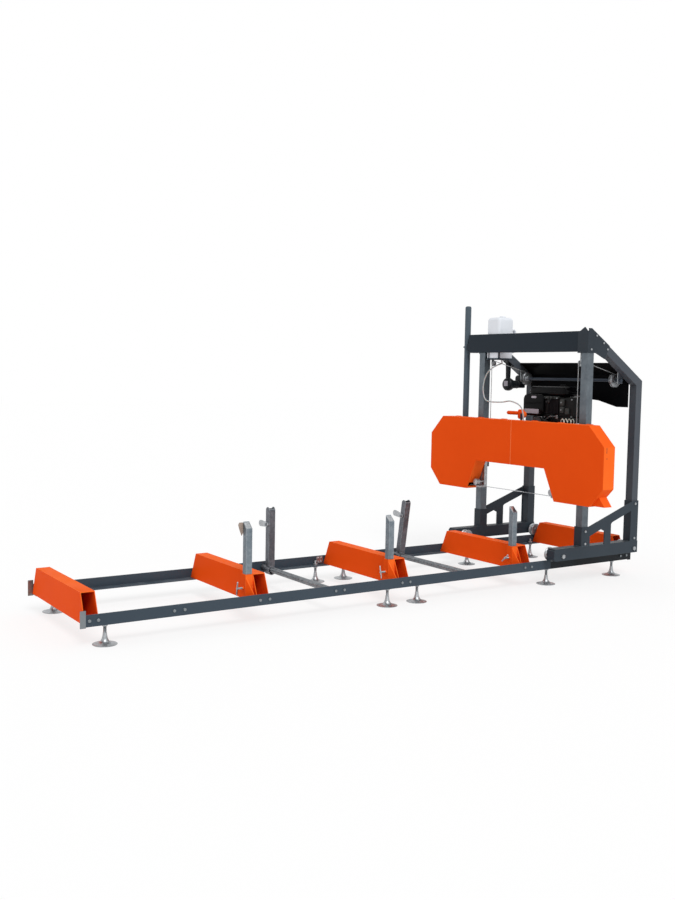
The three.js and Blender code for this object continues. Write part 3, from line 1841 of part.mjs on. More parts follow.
// The clutch lever: a hub on the head's lever pin and a grip bar.
function clutchLever(name) {
  const hub = rodX(leverHub, leverX - leverHubHalf, leverX + leverHubHalf, guideSegments, leverY, leverZ);
  const bar = rodY(leverBarRadius, leverY, leverY + leverReach, 12, leverX, leverZ + leverBarRise / 2);
  const hole = rodX(
    leverPinRadius + runGap,
    leverX - leverHubHalf - cutMargin,
    leverX + leverHubHalf + cutMargin,
    12,
    leverY,
    leverZ,
  );
  return part(name, cut(join(hub, bar), hole), orangePaint);
}

// The free water hose from the tank's spout to the boss on the head's beam.
function waterHose(name) {
  const start = new THREE.Vector3(hoseStartX, hoseStartY, tankBottom - tankSpoutDrop - seatGap);
  const end = new THREE.Vector3(hoseEndX, hoseEndY, headBeamTop + bossHeight + seatGap);
  const route = new THREE.CatmullRomCurve3([
    start,
    new THREE.Vector3(hoseStartX, hoseStartY, hoseDropZ),
    new THREE.Vector3(hoseSwingX, hoseSwingY, hoseSwingZ),
    new THREE.Vector3(hoseReachX, hoseReachY, hoseReachZ),
    new THREE.Vector3(hoseBowX, hoseBowY, hoseBowZ),
    new THREE.Vector3(hoseSideX, hoseSideY, hoseSideZ),
    new THREE.Vector3(hoseDipX, hoseDipY, hoseDipZ),
    new THREE.Vector3(hoseLowX, hoseLowY, hoseLowZ),
    new THREE.Vector3(hoseLevelX, hoseLevelY, hoseLevelZ),
    new THREE.Vector3(hoseCrestX, hoseCrestY, hoseCrestZ),
    new THREE.Vector3(hoseFallX, hoseFallY, hoseFallZ),
    new THREE.Vector3(hoseEndX, hoseEndY, hoseRiseZ),
    new THREE.Vector3(hoseEndX, hoseEndY, hoseFootZ),
    end,
  ], false, 'centripetal');
  const section = new THREE.Shape(Array.from({ length: hoseSides }, (_, i) => {
    const angle = (2 * Math.PI * i) / hoseSides;
    return new THREE.Vector2(hoseRadius * Math.cos(angle), hoseRadius * Math.sin(angle));
  }));
  const geometry = new THREE.ExtrudeGeometry(
    section,
    { steps: hoseSteps, extrudePath: route, bevelEnabled: false },
  );
  return part(name, solidOf(geometry), clearHose);
}

function track() {
  const group = new THREE.Group();
  group.add(rail('rail_near', -1), rail('rail_far', 1));
  group.add(plainBunk('bunk_1', bunkX1), plainBunk('bunk_5', bunkX5));
  group.add(stopBunk('bunk_2', bunkX2), stopBunk('bunk_3', bunkX3), stopBunk('bunk_4', bunkX4));
  group.add(crossTube('cross_tube_1', tubeX1), crossTube('cross_tube_2', tubeX2));
  [footX1, footX2, footX3, footX4, footX5].forEach((footX, i) => {
    group.add(foot(`foot_near_${i + 1}`, footX, -1), foot(`foot_far_${i + 1}`, footX, 1));
  });
  return group;
}

function logHolders() {
  const group = new THREE.Group();
  group.add(stopPost('stop_post_1', bunkX2, stopTop1), stopScrew('stop_screw_1', bunkX2, screwTurnDegrees1));
  group.add(stopPost('stop_post_2', bunkX3, stopTop2), stopScrew('stop_screw_2', bunkX3, screwTurnDegrees2));
  group.add(stopPost('stop_post_3', bunkX4, stopTop3), stopScrew('stop_screw_3', bunkX4, screwTurnDegrees3));
  group.add(clamp(1, tubeX1, 0, tubeRadius + seatGap - sleeveBore), clamp(2, tubeX2, clampLeanDegrees, 0));
  return group;
}

function carriage() {
  const group = new THREE.Group();
  group.add(sideFrame('side_frame_near', -1), sideFrame('side_frame_far', 1));
  group.add(
    carriageWheel('wheel_near_front', wheelFrontX, -1),
    carriageWheel('wheel_near_rear', wheelRearX, -1),
  );
  group.add(carriageWheel('wheel_far_front', wheelFrontX, 1), carriageWheel('wheel_far_rear', wheelRearX, 1));
  group.add(frontPost('front_post_near', -1), frontPost('front_post_far', 1));
  group.add(rearPost('rear_post_near', -1), rearPost('rear_post_far', 1));
  group.add(topBeam('top_beam'), uprightTube('upright_tube'), tank('water_tank'), hood('hood'));
  group.add(liftShaft('lift_shaft'), winch('winch'));
  group.add(liftCable('lift_cable_near', -1), liftCable('lift_cable_far', 1));
  return group;
}

function sawHead() {
  const group = new THREE.Group();
  group.add(headFrame('head_frame'), guardBackSheet('guard_back'));
  group.add(guardCover('guard_cover_near', -1), guardCover('guard_cover_far', 1));
  group.add(bandWheel('band_wheel_near', -1), bandWheel('band_wheel_far', 1), blade('blade'));
  group.add(farBladeGuide('blade_guide'), engine('engine'), enginePulley('engine_pulley'));
  group.add(driveBelt('drive_belt'), clutchLever('clutch_lever'), waterHose('water_hose'));
  return group;
}

const sawmill = new THREE.Group();
const parked = new THREE.Group();
sawmill.name = 'sawmill';
parked.position.x = railHalf - parkInset - frontPostX;
parked.add(carriage(), sawHead());
sawmill.add(track(), logHolders(), parked);

export default sawmill;
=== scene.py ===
"""A portable band sawmill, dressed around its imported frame.

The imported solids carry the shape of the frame, guard and bunks. This script gives them their
finishes, puts finer meshes in place of the round and moulded parts, adds ropes, hose, welds
and fittings, and sets up the studio.
"""

import logging
import math
from dataclasses import dataclass, field
from enum import Enum
from functools import reduce
from typing import Iterable, Sequence

import bmesh
import bpy
from mathutils import Matrix, Vector


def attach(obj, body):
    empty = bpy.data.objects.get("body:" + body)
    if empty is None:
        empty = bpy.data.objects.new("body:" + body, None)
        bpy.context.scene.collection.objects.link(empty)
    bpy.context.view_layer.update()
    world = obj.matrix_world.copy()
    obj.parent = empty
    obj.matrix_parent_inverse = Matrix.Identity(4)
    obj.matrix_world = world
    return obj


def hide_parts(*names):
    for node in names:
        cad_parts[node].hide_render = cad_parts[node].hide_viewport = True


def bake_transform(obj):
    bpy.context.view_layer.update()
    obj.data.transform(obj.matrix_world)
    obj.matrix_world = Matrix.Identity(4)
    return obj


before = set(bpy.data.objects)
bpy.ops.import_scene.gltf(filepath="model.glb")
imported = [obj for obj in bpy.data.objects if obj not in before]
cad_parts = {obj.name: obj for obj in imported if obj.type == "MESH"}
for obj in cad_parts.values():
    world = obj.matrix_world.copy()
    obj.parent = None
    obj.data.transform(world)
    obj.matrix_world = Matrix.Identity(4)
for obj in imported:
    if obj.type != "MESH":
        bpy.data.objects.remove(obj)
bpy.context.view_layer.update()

log = logging.getLogger("sawmill")

Point = tuple[float, float, float]
Pair = tuple[float, float]
Colour = tuple[float, float, float, float]
Socket = bpy.types.NodeSocket

MM = 0.001
SHARP_ANGLE = math.radians(32)
EASED_ANGLE = math.radians(35)
FLAT_ANGLE = math.radians(0.8)
WELD_GAP = 0.00002


class Axis(Enum):
    """The shared frame's axes, as the direction that a turned part or a rod follows."""

    X = 0
    Y = 1
    Z = 2

    def place(self, radial_a: float, radial_b: float, along: float) -> Vector:
        """Finds the point that lies some way along the axis and some way out from it.

        Args:
            radial_a: The distance out along the next axis in turn.
            radial_b: The distance out along the one after that.
            along: The distance along this axis.

        Returns:
            The point.
        """
        values = [0.0, 0.0, 0.0]
        values[(self.value + 1) % 3] = radial_a
        values[(self.value + 2) % 3] = radial_b
        values[self.value] = along
        return Vector(values)


class Side(Enum):
    """The two sides of the machine, with the sign of Y there."""

    NEAR = -1
    FAR = 1

    @property
    def word(self) -> str:
        """Returns the side's name as the frame's nodes write it."""
        return self.name.lower()


# A box as the pillow method takes it: axis, low corner, high corner, corner and edge radius.
Box = tuple[Axis, Point, Point, float, float]


def srgb(red: int, green: int, blue: int) -> Colour:
    """Turns a colour as screens give it into the linear one that shaders take.

    Args:
        red: Red, 0 to 255.
        green: Green, 0 to 255.
        blue: Blue, 0 to 255.

    Returns:
        The linear colour with full alpha.
    """

    def linear(value: int) -> float:
        """Returns one channel in linear light."""
        share = value / 255
        return share / 12.92 if share <= 0.04045 else ((share + 0.055) / 1.055) ** 2.4

    return (linear(red), linear(green), linear(blue), 1.0)


def feed(tree: bpy.types.NodeTree, socket: Socket, value: object) -> None:
    """Gives a socket its value.

    Args:
        tree: The node tree that the socket belongs to.
        socket: The socket.
        value: A number, a colour, or the socket that drives it.
    """
    if isinstance(value, Socket):
        tree.links.new(value, socket)
    else:
        socket.default_value = value


def add_node(
    tree: bpy.types.NodeTree, kind: str, inputs: dict[str | int, object], **settings: object
) -> bpy.types.Node:
    """Adds one node to a tree.

    Args:
        tree: The node tree.
        kind: The node's type.
        inputs: What feeds each input, by name or number.
        **settings: The node's own settings.

    Returns:
        The node.
    """
    node = tree.nodes.new(kind)
    for name, value in settings.items():
        setattr(node, name, value)
    for key, value in inputs.items():
        feed(tree, node.inputs[key], value)
    return node


class ShaderSheet:
    """One material's node tree, with a method for each kind of pattern it is made from."""

    def __init__(self, name: str) -> None:
        """Makes the material and finds its surface shader.

        Args:
            name: The material's name.
        """
        self.material = bpy.data.materials.new(f"{name}_finish")
        self.material.use_nodes = True
        self.tree = self.material.node_tree
        self.surface = self.tree.nodes["Principled BSDF"]
        self.place = self.node("ShaderNodeTexCoord", {}).outputs["Object"]
        self.normal = self.node("ShaderNodeNewGeometry", {}).outputs["Normal"]

    def node(self, kind: str, inputs: dict[str | int, object], **settings: object) -> bpy.types.Node:
        """Adds one node to the material."""
        return add_node(self.tree, kind, inputs, **settings)

    def maths(self, operation: str, *values: object) -> Socket:
        """Returns the result of one sum of one or two values."""
        return self.node("ShaderNodeMath", dict(enumerate(values)), operation=operation).outputs[0]

    def stretched(self, scales: Point) -> Socket:
        """Returns the place on the part with each axis scaled by its own share."""
        return self.node("ShaderNodeMapping", {"Vector": self.place, "Scale": scales}).outputs["Vector"]

    def noise(
        self, scale: float, detail: float = 3.0, roughness: float = 0.5, stretch: Point | None = None
    ) -> Socket:
        """Adds a cloudy pattern from 0 to 1.

        Args:
            scale: Blotches for each metre.
            detail: How many finer layers lie on it.
            roughness: How strong the finer layers are.
            stretch: A scale for each axis, for grain that runs one way.

        Returns:
            The pattern's value socket.
        """
        place = self.place if stretch is None else self.stretched(stretch)
        inputs = {"Vector": place, "Scale": scale, "Detail": detail, "Roughness": roughness}
        return self.node("ShaderNodeTexNoise", inputs).outputs[0]

    def spangle(self, scale: float) -> Socket:
        """Returns a pattern of random flat flakes from 0 to 1, as zinc shows."""
        cells = self.node("ShaderNodeTexVoronoi", {"Vector": self.place, "Scale": scale})
        return self.node("ShaderNodeSeparateColor", {0: cells.outputs["Color"]}).outputs[0]

    def between(
        self, value: object, low: float, high: float, first: float = 0.0, last: float = 1.0
    ) -> Socket:
        """Stretches a value from one range to another, and keeps it inside.

        Args:
            value: The value.
            low: Where the value gives the new range's first end.
            high: Where it gives the last one.
            first: The new range's first end.
            last: The new range's last end.

        Returns:
            The new value's socket.
        """
        inputs = {"Value": value, "From Min": low, "From Max": high, "To Min": first, "To Max": last}
        return self.node("ShaderNodeMapRange", inputs).outputs["Result"]

    def blend(self, share: object, first: object, second: object) -> Socket:
        """Returns a colour that lies some share of the way from the first to the second."""
        return self.node("ShaderNodeMix", {0: share, 6: first, 7: second}, data_type="RGBA").outputs[2]

    def level(self, share: object, first: object, second: object) -> Socket:
        """Returns a number that lies some share of the way from the first to the second."""
        return self.node("ShaderNodeMix", {0: share, 2: first, 3: second}, data_type="FLOAT").outputs[0]

    def component(self, vector: object, axis: Axis) -> Socket:
        """Returns one component of a vector."""
        return self.node("ShaderNodeSeparateXYZ", {0: vector}).outputs[axis.value]

    def beyond(self, axis: Axis, limit: float, both_ways: bool = False) -> Socket:
        """Masks the part past a limit along an axis.

        Args:
            axis: The axis.
            limit: The limit, in metres.
            both_ways: Whether the distance from the middle counts, on either side.

        Returns:
            A socket that is 1 past the limit and 0 before it.
        """
        value = self.component(self.place, axis)
        if both_ways:
            value = self.maths("ABSOLUTE", value)
        return self.maths("GREATER_THAN", value, limit)

    def below(self, axis: Axis, limit: float, both_ways: bool = False) -> Socket:
        """Returns 1 before a limit along an axis, and 0 past it."""
        return self.maths("SUBTRACT", 1.0, self.beyond(axis, limit, both_ways))

    def both(self, *masks: object) -> Socket:
        """Returns the product of masks or shares, which is 1 where every one is 1."""
        return reduce(lambda first, second: self.maths("MULTIPLY", first, second), masks)

    def either(self, *masks: object) -> Socket:
        """Returns the highest of some masks, which is 1 where any one is 1."""
        return reduce(lambda first, second: self.maths("MAXIMUM", first, second), masks)

    def edges(self, reach: float) -> Socket:
        """Masks the corners of the part.

        Args:
            reach: How far the mask reaches from a corner, in metres.

        Returns:
            A socket that is 1 at the corners and 0 on the faces.
        """
        rounded_off = self.node("ShaderNodeBevel", {"Radius": reach}, samples=4).outputs["Normal"]
        turn = self.node("ShaderNodeVectorMath", {0: rounded_off, 1: self.normal}, operation="DOT_PRODUCT")
        return self.between(turn.outputs["Value"], 0.98, 0.82)

    def facing_up(self) -> Socket:
        """Returns 1 on faces that look up, where dust lies and where some finishes have painted top light.
        """
        return self.between(self.component(self.normal, Axis.Z), 0.55, 0.95)

    def bump(self, height: object, depth: float, strength: float = 0.6) -> None:
        """Adds fine relief to the surface, over any that it has.

        Args:
            height: The pattern that gives the relief.
            depth: The relief's depth, in metres.
            strength: How much of it shows.
        """
        inputs = {"Strength": strength, "Distance": depth, "Height": height}
        before = self.surface.inputs["Normal"]
        if before.is_linked:
            inputs["Normal"] = before.links[0].from_socket
        feed(self.tree, before, self.node("ShaderNodeBump", inputs).outputs["Normal"])

    def set(self, **values: object) -> bpy.types.Material:
        """Sets the surface shader's sockets.

        Args:
            **values: A value for each socket's name, with underscores for spaces.

        Returns:
            The finished material.
        """
        for name, value in values.items():
            feed(self.tree, self.surface.inputs[name.replace("_", " ")], value)
        return self.material


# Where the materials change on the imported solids, in metres along the axis that each mask takes.
RAIL_FACE = 0.4533
RAIL_TABS = -2.0698
# Where the painted shadow under the carriage starts on the near rail.
RAIL_SHADOW_START = 1.2726
RAIL_NEAR = -0.42
SIDE_FRAME_FACE = 0.5635
SIDE_FRAME_AXLES = 0.4924
BEAM_BOLTS = 0.5645
BEAM_BOLTS_END = 0.5705
BEAM_REAR = 1.5172
BEAM_PLATES = -0.4675
BEAM_PLATES_TOP = 1.81
GUIDE_TOP = 0.8015
GUIDE_REAR = 1.4105
PIN_FLOOR = 1.155
PIN_FRONT = 1.418
POST_BOLTS = 0.4975
BLADE_GULLETS = 1.3055

STEEL_FLAKE = srgb(105, 108, 110)
# Painted light: lighter oranges for faces that look towards the near end and faces that look up.
PAINTED_LIT_END_ORANGE = srgb(246, 114, 44)
PAINTED_LIT_TOP_ORANGE = srgb(246, 110, 38)
# Near black for the painted shadow under the carriage's side frame on the near rail.
PAINTED_SHADOW_RAIL = srgb(14, 17, 20)
TAB_RUST = srgb(126, 96, 76)
# Painted highlight along the rounded corners of zinc parts.
PAINTED_CORNER_HIGHLIGHT = srgb(208, 218, 224)
CAST_RUST = srgb(120, 82, 58)
GRIT = srgb(170, 160, 142)
# Grey for rubbed edges of moulded parts, which on the engine also stands for a painted highlight along its
# edges.
RUBBED_EDGE_AND_HIGHLIGHT_GREY = srgb(150, 150, 150)
BELT_CHALK = srgb(92, 90, 88)


@dataclass(frozen=True)
class MetalZone:
    """Bare plated metal that shows in places on a painted part.

    Attributes:
        colour: The plated metal's colour.
        roughness: Its roughness.
        rust: How much rust shows on the track's end tabs.
    """

    colour: Colour = srgb(168, 172, 175)
    roughness: float = 0.36
    rust: float = 0.0


class ZoneKind(Enum):
    """Which parts of a painted solid are plated fasteners or bare steel, and which of its faces get painted
    light or painted shadow.
    """

    NONE = "none"
    RAIL = "rail"
    SIDE_FRAME = "side_frame"
    TOP_BEAM = "top_beam"
    HEAD_FRAME = "head_frame"
    REAR_POST = "rear_post"
    PAINTED_LIGHT_FACES = "painted_light_faces"


@dataclass(frozen=True)
class Finish:
    """What every finish has.

    Attributes:
        name: The material's name.
        colour: The finish's main colour.
    """

    name: str
    colour: Colour

    def make(self) -> bpy.types.Material:
        """Makes the finish's material, which each kind of finish does in its own way."""
        raise NotImplementedError(self.name)


@dataclass(frozen=True)
class PaintFinish(Finish):
    """Sprayed enamel or powder coat on steel, with faint dust, rubbed edges, and on some parts painted
    light and painted shadow.

    Attributes:
        deep: The colour of the paint's darker drifts.
        edge: The colour that shows where corners are rubbed.
        roughness: The paint's mean roughness.
        specular: The strength of its mirror reflections.
        wear: How much of the rubbed corners shows.
        zones: Where plated metal shows in place of paint, and where painted light and painted shadow go.
        metal: The plated metal there.
        dust: How much dust lies on faces that look up, which on the rail is partly a painted highlight for
            light from above.
        dust_and_top_light_colour: The dust's colour, which on the rail is a pale blue grey that also stands
            for painted top light.
        pale: The colour of the near side's plates, which are lighter than the rest.
    """

    deep: Colour
    edge: Colour
    roughness: float = 0.4
    specular: float = 0.16
    wear: float = 0.5
    zones: ZoneKind = ZoneKind.NONE
    metal: MetalZone = field(default_factory=MetalZone)
    dust: float = 0.06
    dust_and_top_light_colour: Colour = srgb(196, 178, 150)
    pale: Colour | None = None

    def zone_mask(self, sheet: ShaderSheet) -> Socket | None:
        """Masks the places where plated metal shows.

        Args:
            sheet: The paint's node tree.

        Returns:
            A socket that is 1 there, or None where the part is all paint.
        """
        if self.zones is ZoneKind.RAIL:
            heads = sheet.beyond(Axis.Y, RAIL_FACE, both_ways=True)
            return sheet.either(heads, sheet.below(Axis.X, RAIL_TABS))
        if self.zones is ZoneKind.SIDE_FRAME:
            heads = sheet.beyond(Axis.Y, SIDE_FRAME_FACE, both_ways=True)
            axles = sheet.below(Axis.Y, SIDE_FRAME_AXLES, both_ways=True)
            return sheet.either(heads, axles)
        if self.zones is ZoneKind.TOP_BEAM:
            near = sheet.below(Axis.Y, -BEAM_BOLTS)
            far = sheet.both(sheet.beyond(Axis.Y, BEAM_BOLTS), sheet.below(Axis.Y, BEAM_BOLTS_END))
            return sheet.either(near, sheet.both(far, sheet.beyond(Axis.X, BEAM_REAR)))
        if self.zones is ZoneKind.HEAD_FRAME:
            guide = sheet.below(Axis.Z, GUIDE_TOP)
            inside = sheet.below(Axis.X, GUIDE_REAR)
            pin = sheet.both(sheet.beyond(Axis.Z, PIN_FLOOR), sheet.beyond(Axis.X, PIN_FRONT))
            return sheet.either(sheet.both(guide, inside), pin)
        if self.zones is ZoneKind.REAR_POST:
            return sheet.below(Axis.Y, POST_BOLTS, both_ways=True)
        return None

    def make(self) -> bpy.types.Material:
        """Makes the paint's material.

        Returns:
            The material.
        """
        sheet = ShaderSheet(self.name)
        colour: object = self.colour
        if self.pale is not None:
            plates = sheet.both(sheet.below(Axis.Y, BEAM_PLATES), sheet.below(Axis.Z, BEAM_PLATES_TOP))
            colour = sheet.blend(plates, self.colour, self.pale)
        # Painted light: faces that look towards the near end, where the key lamp comes from, and faces that
        # look up are coloured a lighter orange.
        if self.zones is ZoneKind.PAINTED_LIGHT_FACES:
            ends = sheet.between(sheet.component(sheet.normal, Axis.Y), -0.6, -0.9)
            colour = sheet.blend(sheet.both(ends, 0.8), self.colour, PAINTED_LIT_END_ORANGE)
            colour = sheet.blend(sheet.both(sheet.facing_up(), 0.7), colour, PAINTED_LIT_TOP_ORANGE)
        # Painted shadow: the near rail from the carriage's front wheel back is coloured near black, for the
        # shade under the side frame; it stays put when the carriage moves.
        if self.zones is ZoneKind.RAIL:
            painted_shadow = sheet.both(sheet.beyond(Axis.X, RAIL_SHADOW_START), sheet.below(Axis.Y, RAIL_NEAR))
            colour = sheet.blend(painted_shadow, self.colour, PAINTED_SHADOW_RAIL)
        drift = sheet.between(sheet.noise(2.2, 4.0, 0.6), 0.35, 0.7)
        streak = sheet.between(sheet.noise(9.0, 5.0, 0.65, (1.0, 1.0, 0.25)), 0.45, 0.75)
        tone = sheet.blend(sheet.both(drift, 0.4), colour, self.deep)
        tone = sheet.blend(sheet.both(streak, 0.12), tone, self.deep)
        scuffs = sheet.between(sheet.noise(60.0, 6.0, 0.7), 0.56, 0.7)
        patches = sheet.between(sheet.noise(24.0, 4.0), 0.42, 0.62)
        rubbed = sheet.both(sheet.edges(0.0028), patches, self.wear)
        tone = sheet.blend(rubbed, tone, self.edge)
        # Dust on faces that look up; on the rail its pale blue grey is partly a painted highlight for light
        # from above.
        dust = sheet.both(sheet.facing_up(), sheet.between(sheet.noise(7.0, 6.0, 0.7), 0.4, 0.8))
        tone = sheet.blend(sheet.both(dust, self.dust), tone, self.dust_and_top_light_colour)
        rough = sheet.level(scuffs, self.roughness, self.roughness + 0.14)
        rough = sheet.level(dust, rough, self.roughness + 0.25)
        metallic: object = 0.0
        mask = self.zone_mask(sheet)
        if mask is not None:
            flake = sheet.level(sheet.spangle(160.0), 0.82, 1.0)
            plate = sheet.blend(flake, STEEL_FLAKE, self.metal.colour)
            if self.metal.rust > 0:
                tabs = sheet.both(sheet.below(Axis.X, RAIL_TABS), sheet.beyond(Axis.Y, 0.0))
                tabs = sheet.both(tabs, sheet.between(sheet.noise(45.0, 6.0, 0.7), 0.42, 0.58))
                plate = sheet.blend(sheet.both(tabs, self.metal.rust), plate, TAB_RUST)
            tone = sheet.blend(mask, tone, plate)
            rough = sheet.level(mask, rough, self.metal.roughness)
            metallic = sheet.both(mask, 0.85)
        sheet.bump(sheet.noise(420.0, 2.0), 0.00012, 0.5)
        sheet.bump(sheet.noise(26.0, 3.0), 0.0005, 0.25)
        return sheet.set(
            Base_Color=tone, Roughness=rough, Metallic=metallic, Specular_IOR_Level=self.specular,
        )


@dataclass(frozen=True)
class ZincFinish(Finish):
    """Zinc plated or galvanised steel, with flakes, dull patches and draw marks, and where asked a painted
    highlight along its corners.

    Attributes:
        dull: The colour of the dull flakes, where the main colour is the bright ones'.
        flakes: Flakes for each metre.
        roughness: The metal's mean roughness.
        flake_share: How much of the pattern comes from the flakes, against soft clouds.
        grain: The scale of the draw marks along each axis.
        corner: How strong the painted highlight along the rounded corners is.
    """

    dull: Colour
    flakes: float = 120.0
    roughness: float = 0.38
    flake_share: float = 0.35
    grain: Point = (40.0, 40.0, 2.0)
    corner: float = 0.0

    def make(self) -> bpy.types.Material:
        """Makes the plated metal's material.

        Returns:
            The material.
        """
        sheet = ShaderSheet(self.name)
        cloud = sheet.noise(14.0, 5.0, 0.65)
        flake = sheet.level(self.flake_share, cloud, sheet.spangle(self.flakes))
        tone = sheet.blend(sheet.between(flake, 0.2, 0.85), self.dull, self.colour)
        stain = sheet.between(sheet.noise(5.0, 6.0, 0.7), 0.5, 0.8)
        tone = sheet.blend(sheet.both(stain, 0.35), tone, self.dull)
        # Painted highlight: the rounded corners are lightened towards a pale grey.
        if self.corner > 0:
            tone = sheet.blend(sheet.both(sheet.edges(0.005), self.corner), tone, PAINTED_CORNER_HIGHLIGHT)
        marks = sheet.noise(6.0, 4.0, 0.6, self.grain)
        rough = sheet.between(flake, 0.0, 1.0, self.roughness - 0.07, self.roughness + 0.12)
        rough = sheet.level(sheet.between(marks, 0.4, 0.7), rough, self.roughness + 0.1)
        sheet.bump(marks, 0.0002, 0.35)
        sheet.bump(sheet.noise(300.0, 2.0), 0.00008, 0.4)
        return sheet.set(Base_Color=tone, Roughness=rough, Metallic=0.9)


@dataclass(frozen=True)
class CastFinish(Finish):
    """Cast metal or dull sheet, with a rough skin and a little rust.

    Attributes:
        deep: The colour in the skin's hollows.
        metallic: How far it shines as metal.
    """

    deep: Colour
    metallic: float = 0.7

    def make(self) -> bpy.types.Material:
        """Makes the cast metal's material.

        Returns:
            The material.
        """
        sheet = ShaderSheet(self.name)
        skin = sheet.noise(180.0, 5.0, 0.7)
        tone = sheet.blend(sheet.between(skin, 0.3, 0.75), self.deep, self.colour)
        rust = sheet.between(sheet.noise(30.0, 6.0, 0.75), 0.62, 0.8)
        tone = sheet.blend(sheet.both(rust, 0.3 * self.metallic), tone, CAST_RUST)
        sheet.bump(skin, 0.0004, 0.6)
        return sheet.set(
            Base_Color=tone, Roughness=sheet.between(skin, 0.3, 0.8, 0.45, 0.65), Metallic=self.metallic,
            Specular_IOR_Level=0.2,
        )


@dataclass(frozen=True)
class BladeFinish(Finish):
    """Bright rolled spring steel with grinding lines along its run."""

    def make(self) -> bpy.types.Material:
        """Makes the blade steel's material.

        Returns:
            The material.
        """
        sheet = ShaderSheet(self.name)
        lines = sheet.noise(10.0, 5.0, 0.7, (90.0, 1.5, 90.0))
        tone = sheet.blend(sheet.between(lines, 0.3, 0.7), srgb(132, 136, 140), self.colour)
        gullet = sheet.below(Axis.X, BLADE_GULLETS)
        tone = sheet.blend(sheet.both(gullet, 0.35), tone, srgb(88, 92, 110))
        sheet.bump(lines, 0.0001, 0.4)
        return sheet.set(
            Base_Color=tone, Roughness=sheet.between(lines, 0.3, 0.7, 0.2, 0.38), Metallic=0.95,
        )


@dataclass(frozen=True)
class MouldedFinish(Finish):
    """Moulded plastic or painted casting with a fine grain.

    Attributes:
        shade: The colour of its drifts.
        roughness: The mean roughness.
        specular: The strength of its mirror reflections.
        grain: Grains for each metre.
        depth: The grain's depth, in metres.
        through: The share of light that goes in and comes out again.
        rub: How far its corners are rubbed and lightened, which on the engine is also a painted highlight
            along its edges, and how much dust it takes.
    """

    shade: Colour
    roughness: float = 0.45
    specular: float = 0.3
    grain: float = 900.0
    depth: float = 0.00012
    through: float = 0.0
    rub: float = 0.2

    def make(self) -> bpy.types.Material:
        """Makes the moulded part's material.

        Returns:
            The material.
        """
        sheet = ShaderSheet(self.name)
        drift = sheet.between(sheet.noise(8.0, 4.0, 0.6), 0.35, 0.75)
        tone = sheet.blend(sheet.both(drift, 0.5), self.colour, self.shade)
        dust = sheet.both(sheet.facing_up(), sheet.between(sheet.noise(20.0, 6.0, 0.7), 0.45, 0.75))
        tone = sheet.blend(sheet.both(dust, 0.6 * self.rub), tone, GRIT)
        # Rubbed edges lightened to grey; on the black engine this is also a painted highlight along its
        # edges.
        rubbed = sheet.both(sheet.edges(0.0022), self.rub)
        tone = sheet.blend(rubbed, tone, RUBBED_EDGE_AND_HIGHLIGHT_GREY)
        rough = sheet.between(drift, 0.0, 1.0, self.roughness - 0.06, self.roughness + 0.08)
        rough = sheet.level(dust, rough, 0.7)
        sheet.bump(sheet.noise(self.grain, 2.0), self.depth, 0.5)
        material = sheet.set(Base_Color=tone, Roughness=rough, Specular_IOR_Level=self.specular)
        if self.through > 0:
            sheet.set(Subsurface_Weight=self.through, Subsurface_Scale=0.02)
        return material


@dataclass(frozen=True)
class RubberFinish(Finish):
    """Black belt rubber with the weave of its backing."""

    def make(self) -> bpy.types.Material:
        """Makes the rubber's material.

        Returns:
            The material.
        """
        sheet = ShaderSheet(self.name)
        weave = sheet.noise(500.0, 3.0, 0.6, (1.0, 0.4, 1.0))
        chalk = sheet.between(sheet.noise(40.0, 5.0, 0.7), 0.55, 0.8)
        tone = sheet.blend(sheet.both(chalk, 0.35), self.colour, BELT_CHALK)
        sheet.bump(weave, 0.0003, 0.6)
        rough = sheet.between(weave, 0.3, 0.7, 0.75, 0.95)
        return sheet.set(Base_Color=tone, Roughness=rough, Specular_IOR_Level=0.2)


